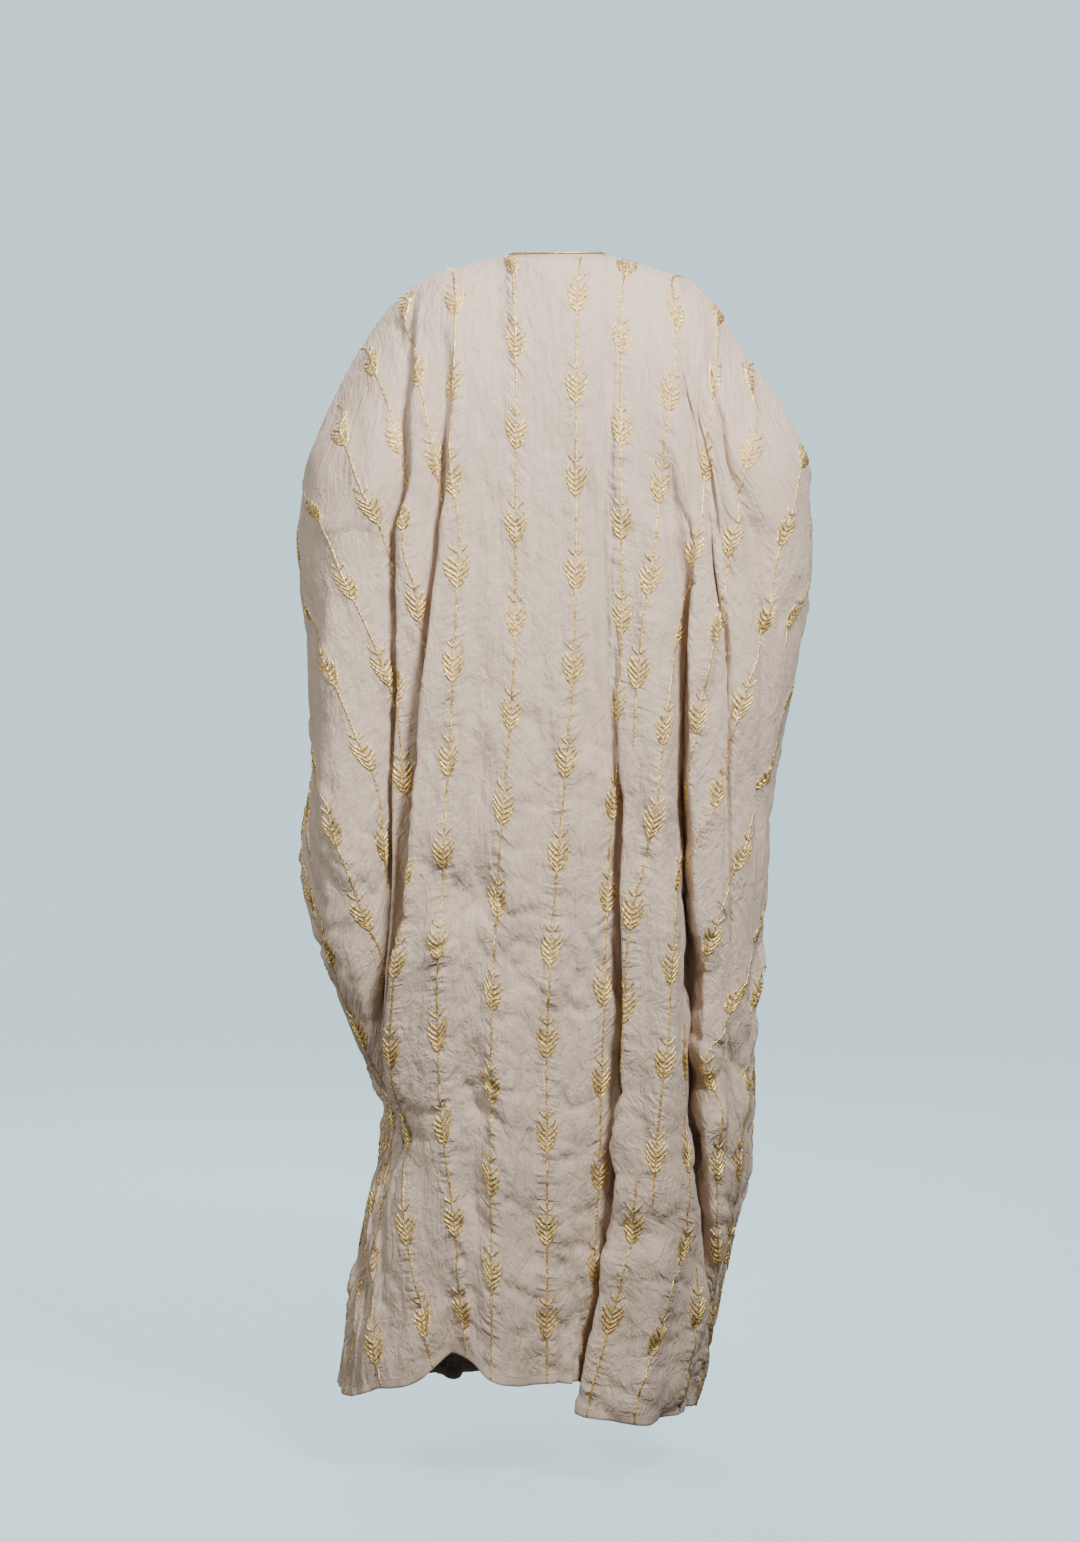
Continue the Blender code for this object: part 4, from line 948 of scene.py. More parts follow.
class Cloth:
    """A panel of cloth on a grid: places, directions, heights, columns and the distances over it."""

    def __init__(self, name, points, outward, columns):
        self.name = name
        self.points = points
        self.outward = outward
        self.columns = columns
        self.centre = int(np.argmin(np.abs(columns)))
        self.measure()

    def measure(self):
        """Measures the cloth: distances round from the centre along each row and down each column, the
        columns' spacing, the direction off its face, and whether the grid's quads have to be turned."""
        run = run_along(self.points, axis=1)
        self.round = run - run[:, self.centre:self.centre + 1]
        self.down = run_along(self.points)
        self.height = self.points[..., 2]
        self.spacing = blurred(np.gradient(self.round, self.columns, axis=1), *SPACING_BLUR)
        normal = grid_normals(self.points)
        self.flip = bool(np.sum(normal * self.outward) > 0)
        self.out = normal if self.flip else -normal

    def row_at(self, height, column):
        """The fractional row on which each column reaches a height."""
        place = np.interp(column, self.columns, np.arange(len(self.columns)))
        rows = np.arange(self.height.shape[0])
        return np.array([np.interp(-z, -self.height[:, c], rows)
                         for z, c in zip(height, np.rint(place).astype(int))])

    def push(self, depth):
        """Moves the cloth inwards by depth."""
        self.points = self.points - self.outward * depth[..., None]

    def at(self, field, row, column):
        """A field's value at fractional rows and column positions, on straight lines both ways."""
        place = np.interp(column, self.columns, np.arange(len(self.columns)))
        r0 = np.clip(row.astype(int), 0, field.shape[0] - 2)
        c0 = np.clip(place.astype(int), 0, field.shape[1] - 2)
        u, v = row - r0, place - c0
        if field.ndim == 3:
            u, v = u[..., None], v[..., None]
        return ((1 - u) * ((1 - v) * field[r0, c0] + v * field[r0, c0 + 1])
                + u * ((1 - v) * field[r0 + 1, c0] + v * field[r0 + 1, c0 + 1]))

    def beside(self, row, column, away):
        """The column that lies away metres round from the given one, on the same row, found by steps of
        what is still missing over the columns' spacing."""
        target = self.at(self.round, row, column) + away
        found = column + away / self.at(self.spacing, row, column)
        for _ in range(BESIDE_STEPS):
            found = found + (target - self.at(self.round, row, found)) / self.at(self.spacing, row, found)
            found = np.clip(found, self.columns[0], self.columns[-1])
        return found


def crease_depth(cloth, row):
    """Depth of one crease: a bump of the distance from a smooth path that is drawn on the cloth, with its
    own width on each hand, dying out towards both ends along half a sine wave."""
    _name, depth, right, left, path = row
    height, column = np.array(path, float).T
    knots = np.arange(len(path), dtype=float)
    t = np.linspace(0.0, knots[-1], CREASE_POINTS)
    height, column = smooth(knots, height * MM, t), smooth(knots, column, t)
    row_at = cloth.row_at(height, column)
    middle = cloth.at(cloth.points, row_at, column)
    ahead = unit(np.gradient(middle, axis=0))
    left_hand = unit(np.cross(cloth.at(cloth.outward, row_at, column), ahead))
    strength = depth * MM * (CREASE_END + (1 - CREASE_END) * np.sin(math.pi * t / knots[-1]))
    centre = middle.mean(axis=0)
    radius = np.linalg.norm(middle - centre, axis=1).max() + max(right, left) * MM
    points = cloth.points.reshape(-1, 3)
    near = np.flatnonzero(np.linalg.norm(points - centre, axis=1) < radius)
    away = np.linalg.norm(points[near, None] - middle[None], axis=2)
    nearest = np.argmin(away, axis=1)
    offset = points[near] - middle[nearest]
    past_end = (nearest == 0) | (nearest == CREASE_POINTS - 1)
    square = np.linalg.norm(across(offset, ahead[nearest]), axis=1)
    distance = np.where(past_end, away[np.arange(len(near)), nearest], square)
    hand = np.sum(offset * left_hand[nearest], axis=1)
    found = np.zeros(len(points))
    found[near] = strength[nearest] * bump(distance / (np.where(hand > 0, left, right) * MM))
    return found.reshape(cloth.height.shape)


def crinkle(cloth, seed):
    """Fine uneven creasing of the linen: the sum of the crinkle's noises, each stronger lower down, times
    a slow noise, and weaker where the grid's rows crowd together."""
    shape = cloth.height.shape
    lower = eased((-cloth.height - CRINKLE_FROM) / CRINKLE_OVER)
    depth = np.zeros(shape)
    for _name, rows, columns, draw, upper, added, ridged in CRINKLE:
        noise = soft_noise(shape, (rows, columns), seed + draw)
        if ridged:
            noise = (1 - RIDGE * np.abs(noise)).clip(0)
        depth += (upper + added * lower) * noise
    slow = soft_noise(shape, UNEVEN_CELL, seed + UNEVEN_DRAW).clip(-UNEVEN_LIMIT, UNEVEN_LIMIT)
    uneven = UNEVEN_MIDDLE + UNEVEN_SWING * slow
    crowded = blurred(np.clip(np.gradient(cloth.down, axis=0) / EVEN_STEP, 0, 1), *CROWDED_BLUR)
    return MM * uneven * crowded * depth


def creased_cloth(name, inner, outward, columns, seed):
    """A panel's outer face: the inner face moved out by the cloth's thickness, then pushed in by its
    creases and its crinkle. Both fade towards the sewn edges, and the crinkle where the cloth bends
    sharply, which is where its evened direction differs from its own."""
    cloth = Cloth(name, inner + outward * WALL, outward, columns)
    cloth.outward = unit(blurred(outward, *OUTWARD_BLUR))
    calm = eased((np.sum(cloth.outward * outward, axis=2) - CALM_FROM) / CALM_OVER)
    depth = crinkle(cloth, seed) * calm
    for row in CREASES[name]:
        depth = depth + crease_depth(cloth, row)
    rows = np.arange(depth.shape[0])[:, None]
    edges = np.abs(cloth.columns[-1] - cloth.columns)[None, :]
    if name == "back":
        edges = np.minimum(edges, np.abs(cloth.columns - cloth.columns[0])[None, :])
    held = eased(rows / HELD_ROWS) * eased(edges / HELD_COLUMNS)
    cloth.push(depth * held)
    cloth.measure()
    return cloth


# Meshes

def add_mesh(name, points, faces, material):
    """A new smooth-shaded object at the origin, from points and the numbers of each face's corners."""
    mesh = bpy.data.meshes.new(name)
    mesh.from_pydata(points.reshape(-1, 3).tolist(), [], faces.tolist())
    mesh.update()
    mesh.shade_smooth()
    mesh.materials.append(material)
    piece = bpy.data.objects.new(name, mesh)
    bpy.context.scene.collection.objects.link(piece)
    return piece


def grid_faces(rows, columns, first=0, flip=False):
    """Quads of a grid of points, rows by columns, starting at point number first. They face along the
    cross product of a step down the rows and a step across the columns, or against it if flipped."""
    ids = first + np.arange(rows * columns).reshape(rows, columns)
    corners = [ids[:-1, :-1], ids[1:, :-1], ids[1:, 1:], ids[:-1, 1:]]
    faces = np.stack([corner.ravel() for corner in corners], axis=1)
    return faces[:, ::-1] if flip else faces


def many_grids(points, flip=False):
    """Points (count, rows, columns, 3) as separate grids in one set of faces."""
    count, rows, columns = points.shape[:3]
    one = grid_faces(rows, columns, flip=flip)
    offsets = (np.arange(count) * rows * columns)[:, None, None]
    return points.reshape(-1, 3), (one[None] + offsets).reshape(-1, 4)


def set_attribute(piece, name, values):
    """A point attribute of three numbers, or of one, that materials read."""
    kind = "FLOAT_VECTOR" if values.ndim == 2 else "FLOAT"
    attribute = piece.data.attributes.new(name, kind, "POINT")
    attribute.data.foreach_set("vector" if kind == "FLOAT_VECTOR" else "value",
                               values.astype(np.float32).ravel())


def linen_attributes(piece, round_place, down_place, pull, rumple):
    """What the linen reads at each point: its place on the cloth in metres round and down, how much the
    embroidery draws it up, and how rumpled it is. Each may be one number or a grid."""
    shape = np.broadcast_shapes(np.shape(round_place), np.shape(down_place))
    place = np.zeros(shape + (3,))
    place[..., 0] = round_place
    place[..., 1] = down_place
    set_attribute(piece, "cloth_place", place.reshape(-1, 3))
    set_attribute(piece, "thread_pull", np.broadcast_to(pull, shape).ravel())
    set_attribute(piece, "rumple", np.broadcast_to(rumple, shape).ravel())


def cloth_piece(cloth, material):
    """The panel's mesh, more rumpled from the shoulders down."""
    piece = add_mesh(cloth.name + "_cloth", cloth.points,
                     grid_faces(*cloth.height.shape, flip=cloth.flip), material)
    lower = eased((-cloth.height - RUMPLE_FROM) / RUMPLE_OVER)
    linen_attributes(piece, cloth.round, cloth.down, cloth.pull, RUMPLE_UPPER + RUMPLE_ADDED * lower)
    return piece


def turned_edge(cloth, name, row, column, up_row, up_column, material):
    """A narrow turned hem: the cloth folds over its edge and lies flat inside, hem depth wide.

    row and column give the edge; up_row and up_column give the direction into the cloth, as the change
    that goes HEM_DEPTH into it."""
    into_cloth, off_face = np.array(TURNED_EDGE).T * MM
    edge = cloth.at(cloth.points, row, column)
    into = cloth.at(cloth.points, row + up_row, column + up_column) - edge
    out = cloth.at(cloth.out, row + 0.5 * up_row, column + 0.5 * up_column)
    grid = np.array([cloth.at(cloth.points, row + up_row * max(share, 0), column + up_column * max(share, 0))
                     + into * min(share, 0) + out * offset
                     for share, offset in zip(into_cloth / HEM_DEPTH, off_face)])
    faced = np.cross(grid[1, 1:] - grid[1, :-1], grid[0, 1:] - grid[1, 1:])
    flip = bool(np.sum(faced * out[1:]) < 0)
    piece = add_mesh(name, grid, grid_faces(*grid.shape[:2], flip=flip), material)
    linen_attributes(piece, run_along(edge)[None, :], into_cloth[:, None], 0.0, STRIP_RUMPLE)
    return piece


def stitches(cloth, name, row, column, up_row, up_column, material):
    """A line of running stitches along an edge: each a low rounded bar, four points by three, that
    stands STITCH_OFF from the cloth, with its sides as much lower."""
    run = run_along(cloth.at(cloth.points, row, column))
    starts = np.arange(STITCH_GAP, run[-1] - STITCH_LENGTH, STITCH_LENGTH + STITCH_GAP)
    share, rise = np.array(STITCH_PROFILE).T[:, None, :, None]
    along = starts[:, None, None] + STITCH_LENGTH * share
    side = np.array([-0.5, 0.0, 0.5])
    lift = rise * MM + STITCH_OFF * (1 - np.abs(2 * side))
    numbers = np.arange(len(row))
    place = np.interp(along, run, numbers)
    at_row, at_column, rows_up, columns_up = (np.interp(place, numbers, values)
                                              for values in (row, column, up_row, up_column))
    into = (STITCH_FROM_EDGE + side * STITCH_WIDTH) / HEM_DEPTH
    where = (at_row + rows_up * into, at_column + columns_up * into)
    out = cloth.at(cloth.out, *where)
    points = cloth.at(cloth.points, *where) + out * lift[..., None]
    faced = np.cross(points[:, 1, 1] - points[:, 0, 1], points[:, 1, 2] - points[:, 1, 1])
    flip = bool(np.sum(faced * out[:, 1, 1]) < 0)
    return add_mesh(name, *many_grids(points, flip=flip), material)


def neck_edge():
    """The neckline's points and the cloth's directions there, from the left front edge round to the
    right one, evenly spaced, and the distance along it."""
    points, up = [], []
    for name, step, reach in (("front_left", 1, 1.0), ("back", -1, BACK_NECK_REACH),
                              ("front_right", -1, 1.0)):
        cloth = cloths[name]
        on_neck = np.abs(cloth.columns) <= SIDE_COLUMN * NECK_SHARE * reach
        points.append(cloth.points[0, on_neck][::step])
        up.append(cloth.outward[0, on_neck][::step])
    points, up = np.concatenate(points), np.concatenate(up)
    run = run_along(points)
    even = np.linspace(0.0, run[-1], int(run[-1] / BAND_STEP))
    return (read_along(even, run, points), unit(blurred(read_along(even, run, up), BAND_BLUR, 0)), even)


def neck_band(material, thread):
    """The binding: its profile carried round the neck edge, with closed ends, and a gold cord on it."""
    edge, up, run = neck_edge()
    along = unit(np.gradient(edge, axis=0))
    inward = np.array([0.0, NECK_MIDDLE_Y, 0.0]) - edge
    inward[:, 2] = 0.0
    up = unit(across(up, along))
    inward = unit(across(across(inward, along), up))
    profile = np.array(BAND_PROFILE) * MM
    grid = edge[None] + inward[None] * profile[:, 0, None, None] + up[None] * profile[:, 1, None, None]
    ends = grid.mean(axis=0, keepdims=True)[:, [0, -1]]
    grid = np.concatenate([grid, grid[:1]])
    capped = np.concatenate([np.repeat(ends[:, :1], len(grid), axis=0), grid,
                             np.repeat(ends[:, 1:], len(grid), axis=0)], axis=1)
    faced = np.cross(grid[2, 1] - grid[2, 0], grid[1, 0] - grid[2, 0])
    flip = bool(np.sum(faced * inward[0]) > 0)
    band = add_mesh("neck_binding", capped, grid_faces(*capped.shape[:2], flip=flip), material)
    linen_attributes(band, np.concatenate([[0.0], run, run[-1:]])[None, :],
                     np.append(profile[:, 1], profile[0, 1])[:, None], 0.0, STRIP_RUMPLE)
    turn = np.linspace(0.0, 2 * math.pi, CORD_SIDES + 1)
    radius = 0.5 * BAND_CORD_SIZE * np.where(np.arange(len(edge)) % 2 == 0, *LINE_WIDTHS)
    middle = edge + up * BAND_CORD_UP - inward * BAND_CORD_OFF
    cord = middle[:, None] + radius[:, None, None] * (np.cos(turn)[None, :, None] * inward[:, None]
                                                      + np.sin(turn)[None, :, None] * up[:, None])
    faced = np.cross(cord[1, 0] - cord[0, 0], cord[0, 1] - cord[0, 0])
    flip = bool(np.sum(faced * inward[0]) < 0)
    trim = add_mesh("neck_cord", cord, grid_faces(*cord.shape[:2], flip=flip), thread)
    return band, trim


# Embroidery

def row_on_cloth(cloth, path):
    """Where a row of embroidery crosses each row of the grid, and the distance along it. The column is
    found by reading the path again at the height that the cloth has there."""
    heights, wanted = np.array(path, float).T
    knots = -heights * MM
    rows = np.arange(cloth.height.shape[0], dtype=float)
    column = wanted[0] + 0 * rows
    for _ in range(PATH_STEPS):
        column = smooth(knots, wanted, -cloth.at(cloth.height, rows, column))
    height = cloth.at(cloth.height, rows, column)
    starts_at_top = knots[0] <= 0
    inside = (-height <= knots[-1]) & ((-height >= knots[0]) | starts_at_top)
    rows, column = rows[inside], column[inside]
    points = cloth.at(cloth.points, rows, column)
    return rows, column, run_along(points), points


def on_row(cloth, line, along, away, lift):
    """The point at a distance along a row and away to its side, lifted off the cloth."""
    rows, column, distances, _points = line
    row = np.interp(along, distances, rows)
    found = cloth.beside(row, np.interp(along, distances, column), away)
    return cloth.at(cloth.points, row, found) + cloth.at(cloth.out, row, found) * lift[..., None]


def cord_line(cloth, line):
    """A couched cord along a row: a low rounded profile that swells between its tying stitches."""
    steps = np.arange(0.0, line[2][-1], LINE_STEP)[:, None]
    width = np.where(np.arange(len(steps)) % 2 == 0, *LINE_WIDTHS)[:, None]
    sides, lifts = np.array(CORD_PROFILE).T
    return on_row(cloth, line, steps + 0 * sides, 0.5 * width * sides,
                  lifts * LINE_HEIGHT * (width / LINE_WIDTHS[1]))


def ears(cloth, line, tips):
    """The ears on a row: satin stitched barbs in pairs, each a rounded stroke that is bent by a parabola
    and is widest past its middle, where half a sine wave is highest. Its end is narrow and low."""
    t = np.linspace(0.0, 1.0, STROKE_POINTS)
    at_end = t == 1.0
    strokes = []
    for _name, start_out, start_up, end_out, end_up, bulge, width in EAR_STROKES:
        bent = bulge * 4 * t * (1 - t)
        out = between(start_out, end_out, t) + bent
        up = between(start_up, end_up, t) - STROKE_SAG * bent
        full = np.sin(math.pi * np.clip(between(*STROKE_SWELL, t), 0, 1))
        half = 0.5 * width * between(STROKE_THIN, 1.0, full) * np.where(at_end, STROKE_END_WIDTH, 1.0)
        ahead = unit(np.stack([np.gradient(out), np.gradient(up)], axis=1))
        for hand in (-1.0, 1.0):
            strokes.append((out * hand, up, half, ahead[:, 0] * hand, ahead[:, 1]))
    out, up, half, ahead_out, ahead_up = np.array(strokes).transpose(1, 0, 2)[..., None]
    sides, lifts = np.array(STROKE_PROFILE).T
    away = (out + sides * half * ahead_up) * MM
    rise = (up - sides * half * ahead_out) * MM
    lift = lifts * STROKE_HEIGHT * np.where(at_end, STROKE_END_HEIGHT, 1.0)[:, None]
    along = np.clip(tips[:, None, None, None] - rise, 0.0, line[2][-1])
    points = on_row(cloth, line, along, np.broadcast_to(away, along.shape),
                    np.broadcast_to(lift, along.shape))
    return points.reshape(-1, *points.shape[2:])


def ear_tips(line, motif_height):
    """Distances of the ears' tips along a row, a pitch apart, one of them at the stated height."""
    _rows, _columns, along, points = line
    middle = np.interp(-motif_height * MM, -points[:, 2], along)
    first = (middle + 0.5 * MOTIF_LENGTH) % MOTIF_PITCH
    tips = np.arange(first, along[-1], MOTIF_PITCH)
    return tips[(tips > TIP_FROM_START * MOTIF_LENGTH) & (tips < along[-1] - TIP_FROM_END)]


def embroider(cloth, material):
    """All rows of one panel as one piece: cords and ears. cloth.pull becomes what the rows draw up: a
    bell curve of the distance round from the nearest row, eased out at the row's ends."""
    cords, strokes = [], []
    cloth.pull = np.zeros(cloth.height.shape)
    for _name, motif_height, path in EMBROIDERY_ROWS[cloth.name]:
        line = row_on_cloth(cloth, path)
        row, column, along, _points = line
        cords.append(cord_line(cloth, line))
        tips = ear_tips(line, motif_height)
        if len(tips):
            strokes.append(ears(cloth, line, tips))
        rows = row.astype(int)
        middle = cloth.at(cloth.round, row, column)
        near = np.exp(-((cloth.round[rows] - middle[:, None]) / PULL_REACH) ** 2)
        near *= (eased(along / PULL_FADE) * eased((along[-1] - along) / PULL_FADE))[:, None]
        cloth.pull[rows] = np.maximum(cloth.pull[rows], near)
    points, faces, first = [], [], 0
    for cord in cords:
        points.append(cord.reshape(-1, 3))
        faces.append(grid_faces(*cord.shape[:2], first=first, flip=cloth.flip))
        first += len(points[-1])
    stroke_points, stroke_faces = many_grids(np.concatenate(strokes), flip=not cloth.flip)
    points.append(stroke_points)
    faces.append(stroke_faces + first)
    return add_mesh(cloth.name + "_embroidery", np.concatenate(points), np.concatenate(faces), material)


# Materials

def new_material(name):
    """A new material, its nodes, and the node that shades it."""
    material = bpy.data.materials.new(name)
    material.use_nodes = True
    return material, material.node_tree, material.node_tree.nodes["Principled BSDF"]


def set_inputs(tree, made, inputs):
    """Sets a node's inputs to values, or links them to other nodes' outputs, by name or number."""
    for key, value in inputs.items():
        if isinstance(value, bpy.types.NodeSocket):
            tree.links.new(value, made.inputs[key])
        else:
            made.inputs[key].default_value = value


def node(tree, kind, inputs=None, **settings):
    """Adds a node, sets its properties, and sets or links its inputs."""
    made = tree.nodes.new(kind)
    for key, value in settings.items():
        setattr(made, key, value)
    set_inputs(tree, made, inputs or {})
    return made


def mix_colour(tree, factor, a, b):
    """Mixes two colours, a where factor is 0 and b where it is 1, and returns the colour socket."""
    mixed = node(tree, "ShaderNodeMix", data_type="RGBA")
    numbers = {socket.name + socket.type: number
               for number, socket in enumerate(mixed.inputs) if socket.enabled}
    set_inputs(tree, mixed, {numbers["FactorVALUE"]: factor, numbers["ARGBA"]: a, numbers["BRGBA"]: b})
    return [socket for socket in mixed.outputs if socket.type == "RGBA"][0]


def thread_noise(tree, scale, rough):
    """Fine noise in the frame's own metres, for thread."""
    place = node(tree, "ShaderNodeTexCoord").outputs["Object"]
    return node(tree, "ShaderNodeTexNoise", {"Vector": place, "Scale": scale, "Detail": 2.0,
                                             "Roughness": rough}).outputs["Fac"]


def linen_group():
    """Crinkled linen: a colour and a normal from the cloth's own metres round and down.

    The height is the weighted sum of noises that are stretched along the cloth, plus the puckers along
    the embroidery; it bends the normal, and so does the weave. The colour goes from shade to colour with
    one half plus the slubs, the weave and slow patches, each less its middle and times its weight."""
    tree = bpy.data.node_groups.new("linen surface", "ShaderNodeTree")
    for name, kind in (("Colour", "NodeSocketColor"), ("Shade", "NodeSocketColor"),
                       ("Crinkle", "NodeSocketFloat"), ("Slubs", "NodeSocketFloat")):
        tree.interface.new_socket(name=name, in_out="INPUT", socket_type=kind)
    for name, kind in (("Colour", "NodeSocketColor"), ("Normal", "NodeSocketVector")):
        tree.interface.new_socket(name=name, in_out="OUTPUT", socket_type=kind)
    start = node(tree, "NodeGroupInput")
    end = node(tree, "NodeGroupOutput")
    place = node(tree, "ShaderNodeAttribute", attribute_name="cloth_place").outputs["Vector"]
    pull = node(tree, "ShaderNodeAttribute", attribute_name="thread_pull").outputs["Fac"]
    rumple = node(tree, "ShaderNodeAttribute", attribute_name="rumple").outputs["Fac"]

    def noise(scale, stretch, detail, rough=0.55, distortion=0.0):
        mapped = node(tree, "ShaderNodeMapping", {"Vector": place, "Scale": stretch})
        return node(tree, "ShaderNodeTexNoise",
                    {"Vector": mapped.outputs[0], "Scale": scale, "Detail": detail,
                     "Roughness": rough, "Distortion": distortion}).outputs["Fac"]

    def maths(operation, a, b=0.0, c=0.0):
        return node(tree, "ShaderNodeMath", {0: a, 1: b, 2: c}, operation=operation).outputs[0]

    warp = noise(900.0, (1.0, 0.06, 1.0), 2.0)
    weft = noise(900.0, (0.06, 1.0, 1.0), 2.0)
    slub = noise(160.0, (1.0, 0.09, 1.0), 3.0)
    crush = noise(34.0, (1.0, 0.6, 1.0), 4.0, 0.6, 0.4)
    fine = noise(110.0, (1.0, 0.6, 1.0), 3.0, 0.6, 0.6)
    streak = noise(150.0, (1.0, 0.16, 1.0), 3.0, 0.6, 0.4)
    pucker = noise(85.0, (0.22, 1.0, 1.0), 2.0, 0.5, 0.5)
    gathered = maths("MULTIPLY", pull, noise(22.0, (1.0, 1.0, 1.0), 2.0))

    cloth_height = maths("MULTIPLY_ADD", fine, 1.1, maths("MULTIPLY", crush, 2.0))
    cloth_height = maths("MULTIPLY_ADD", streak, 0.7, cloth_height)
    cloth_height = maths("MULTIPLY_ADD", pucker, maths("MULTIPLY", gathered, 4.5), cloth_height)
    cloth_height = maths("MULTIPLY", cloth_height, maths("MULTIPLY", rumple, start.outputs["Crinkle"]))
    weave = maths("ADD", warp, weft)
    first = node(tree, "ShaderNodeBump", {"Strength": 1.0, "Distance": 0.0032, "Height": cloth_height})
    last = node(tree, "ShaderNodeBump", {"Strength": 0.5, "Distance": 0.0004, "Height": weave,
                                         "Normal": first.outputs[0]})

    patch = noise(9.0, (1.0, 0.5, 1.0), 3.0)
    tone = maths("MULTIPLY_ADD", maths("SUBTRACT", slub, 0.5), start.outputs["Slubs"], 0.5)
    tone = maths("MULTIPLY_ADD", maths("SUBTRACT", weave, 1.0), 0.5, tone)
    tone = maths("MULTIPLY_ADD", maths("SUBTRACT", patch, 0.5), 0.5, tone)
    set_inputs(tree, end, {"Normal": last.outputs[0],
                           "Colour": mix_colour(tree, tone, start.outputs["Shade"],
                                                start.outputs["Colour"])})
    return tree


def linen(name, group, colour, shade, crinkle_amount, roughness):
    """A linen with the group's surface in its own two colours, with a weak, wide sheen."""
    material, tree, shader = new_material(name)
    surface = node(tree, "ShaderNodeGroup", node_tree=group)
    set_inputs(tree, surface, {"Colour": colour, "Shade": shade, "Crinkle": crinkle_amount, "Slubs": 0.9})
    set_inputs(tree, shader, {"Base Color": surface.outputs["Colour"], "Normal": surface.outputs["Normal"],
                              "Roughness": roughness, "Specular IOR Level": 0.25,
                              "Sheen Weight": 0.12, "Sheen Roughness": 0.5})
    return material


def gold_thread():
    """Twisted metallic thread: its colour goes by noise from dark brown to bright gold, tiny painted glints
    and painted shade between brighter and darker strands.
    """
    material, tree, shader = new_material("gold_thread")
    strand = thread_noise(tree, 900.0, 0.7)
    # The base colour by noise: painted shade at its dark end, painted glints at its bright end
    ramp = node(tree, "ShaderNodeValToRGB", {"Fac": thread_noise(tree, 330.0, 0.6)})
    for stop, (position, colour) in zip(ramp.color_ramp.elements, GOLD_SHADE_TO_GLINT):
        stop.position = position
        stop.color = colour
    rough = node(tree, "ShaderNodeMapRange", {"Value": strand, "From Min": 0.35, "From Max": 0.65,
                                              "To Min": 0.28, "To Max": 0.55})
    raised = node(tree, "ShaderNodeBump", {"Strength": 0.7, "Distance": 0.0008, "Height": strand})
    set_inputs(tree, shader, {"Base Color": ramp.outputs["Color"], "Roughness": rough.outputs[0],
                              "Metallic": 0.65, "Normal": raised.outputs[0]})
    return material


def cotton_thread():
    """Matt sewing thread: its colour varies a little along it, and fine noise raises its twist."""
    material, tree, shader = new_material("sewing_thread")
    strand = thread_noise(tree, 1200.0, 0.6)
    raised = node(tree, "ShaderNodeBump", {"Strength": 0.6, "Distance": 0.0003, "Height": strand})
    set_inputs(tree, shader, {"Base Color": mix_colour(tree, strand, *COTTON_COLOURS),
                              "Normal": raised.outputs[0], "Roughness": 0.8})
    return material


def studio_paint():
    """Matt paint that glows a little, so that the backdrop is even."""
    material, tree, shader = new_material("studio_paint")
    set_inputs(tree, shader, {"Base Color": BACKDROP_COLOUR, "Roughness": 0.95,
                              "Emission Color": BACKDROP_COLOUR, "Emission Strength": 6.2})
    return material


# The pieces

inner = {side: (half_panel(side, front=False), half_panel(side, front=True)) for side in ("left", "right")}
outward = {side: sew(*inner[side]) for side in inner}
mirror = np.array([-1.0, 1.0, 1.0])
half_columns = np.linspace(0.0, SIDE_COLUMN, BACK_COLUMNS + 1)
back_columns = np.concatenate([-half_columns[:0:-1], half_columns])
back_inner, back_out = (np.concatenate([(half["right"][0] * mirror)[:, :0:-1], half["left"][0]], axis=1)
                        for half in (inner, outward))
front_columns = np.linspace(0.0, SIDE_COLUMN, FRONT_COLUMNS + 1)
cloths = {
    "back": creased_cloth("back", back_inner, back_out, back_columns, seed=11),
    "front_left": creased_cloth("front_left", inner["left"][1], outward["left"][1], front_columns, seed=23),
    "front_right": creased_cloth("front_right", inner["right"][1] * mirror, outward["right"][1] * mirror,
                                 front_columns, seed=37),
}

linen_surface = linen_group()
cloth_material = linen("abaya_linen", linen_surface, *CLOTH_COLOURS, crinkle_amount=0.9, roughness=0.88)
band_material = linen("binding_linen", linen_surface, *BAND_COLOURS, crinkle_amount=0.2, roughness=0.85)
thread_material = gold_thread()
cotton = cotton_thread()


def edges_of(name, cloth):
    """The panel's free edges: its hem, its stretch of the cuff and, on a front, the front edge. Each is
    (name, rows, columns, and what leads HEM_DEPTH into the cloth in rows and in columns)."""
    rows, columns = cloth.height.shape
    last = np.full(columns, rows - 1.0)
    fall = (cloth.down[-1] - cloth.down[-1 - HEM_ROWS]) / HEM_ROWS
    yield "hem", last, cloth.columns, -HEM_DEPTH / fall, np.zeros(columns)
    for side, label in (((-1, "cuff_left"), (0, "cuff_right")) if name == "back" else ((-1, "cuff"),)):
        height = cloth.height[:, side]
        on_cuff = np.flatnonzero((height <= CUFF_TOP_Z + CUFF_PAST_TOP)
                                 & (height >= CUFF_BOTTOM_Z - CUFF_PAST_BOTTOM))
        row = on_cuff.astype(float)
        column = np.full(len(row), cloth.columns[side])
        yield (label, row, column, np.zeros(len(row)),
               -np.sign(column) * HEM_DEPTH / cloth.spacing[on_cuff, side])
    if name != "back":
        row = np.arange(rows, dtype=float)
        yield "front_edge", row, np.zeros(rows), np.zeros(rows), HEM_DEPTH / cloth.spacing[:, 0]


for name, cloth in cloths.items():
    embroidery = embroider(cloth, thread_material)
    piece = cloth_piece(cloth, cloth_material)
    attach(piece, "root")
    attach(embroidery, "root")
    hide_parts(name)
    for label, *edge in edges_of(name, cloth):
        for strip in (turned_edge(cloth, name + "_" + label, *edge, cloth_material),
                      stitches(cloth, name + "_" + label + "_stitches", *edge, cotton)):
            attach(strip, "root")

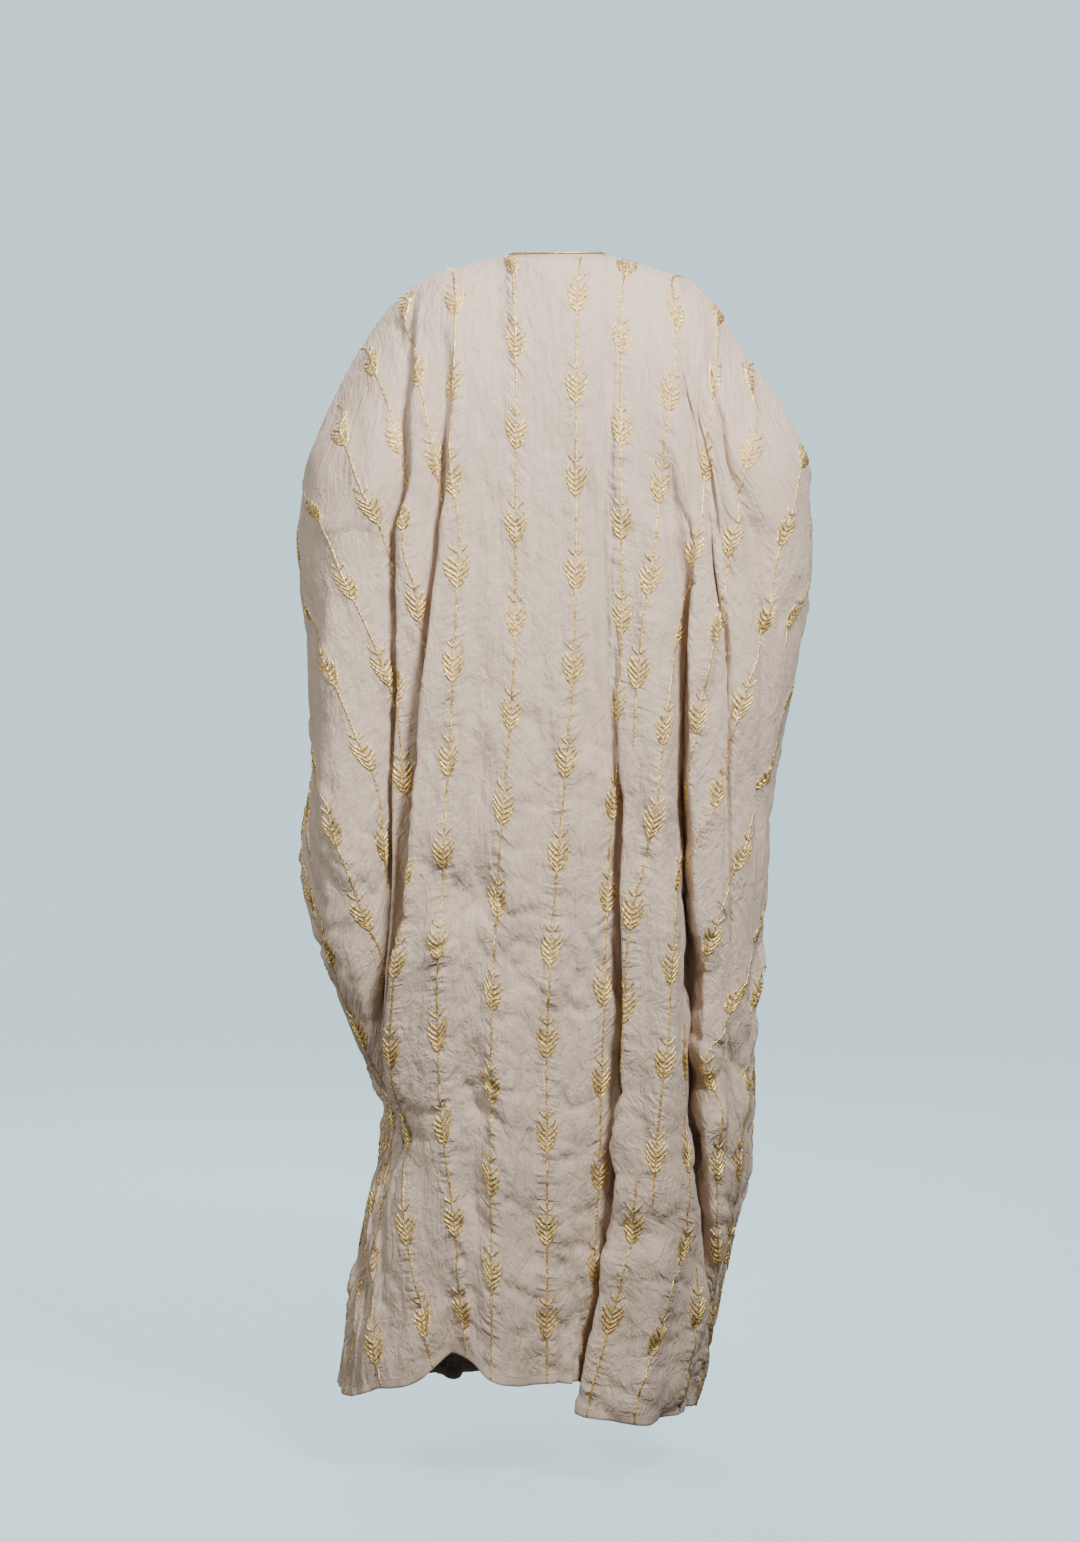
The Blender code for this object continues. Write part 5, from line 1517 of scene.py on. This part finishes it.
for piece in neck_band(band_material, thread_material):
    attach(piece, "root")
    if piece.name == "neck_binding":
        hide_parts("neck_band")


# Stage, lights and camera

def studio_bowl():
    """The studio's seamless floor and wall: a flat disk that turns up along a quarter circle into a
    round wall, with the camera inside."""
    turn = np.linspace(0.0, 0.5 * math.pi, 13)
    curve = np.stack([BOWL_FLOOR + BOWL_TURN * np.sin(turn), BOWL_TURN * (1 - np.cos(turn))], axis=1)
    radius, height = np.concatenate([[(r, 0.0) for r in (0.0, 1.0, 2.5, 5.0)], curve,
                                     [(BOWL_FLOOR + BOWL_TURN, z) for z in (4.5, 7.0)]]).T[:, :, None]
    angle = np.linspace(0.0, 2 * math.pi, 97)
    grid = np.stack([radius * np.cos(angle), radius * np.sin(angle), FLOOR_Z + height + 0 * angle], axis=2)
    return add_mesh("studio_bowl", grid, grid_faces(*grid.shape[:2]), studio_paint())


bowl = studio_bowl()
bowl.visible_diffuse = False
bowl.visible_glossy = False

world = bpy.data.worlds.new("studio")
bpy.context.scene.world = world
world.use_nodes = True
set_inputs(world.node_tree, world.node_tree.nodes["Background"],
           {"Color": (0.66, 0.68, 0.70, 1), "Strength": 0.10})

for name, place, target, size, power, colour, spread in LIGHTS:
    lamp = bpy.data.lights.new(name, "AREA")
    lamp.shape = "DISK"
    lamp.size = size
    lamp.energy = power
    lamp.spread = math.radians(spread)
    lamp.color = colour
    holder = bpy.data.objects.new(name, lamp)
    bpy.context.scene.collection.objects.link(holder)
    holder.location = place
    holder.rotation_euler = Vector(np.subtract(target, place)).to_track_quat("-Z", "Y").to_euler()

camera_data = bpy.data.cameras.new("camera")
camera_data.sensor_fit = "VERTICAL"
camera_data.sensor_height = SENSOR
camera_data.lens = SENSOR * FOCAL_PIXELS / PICTURE_HEIGHT_PIXELS
camera = bpy.data.objects.new("camera", camera_data)
bpy.context.scene.collection.objects.link(camera)
camera.location = CAMERA_PLACE
camera.rotation_euler = (math.radians(90), 0, math.radians(180))
bpy.context.scene.camera = camera
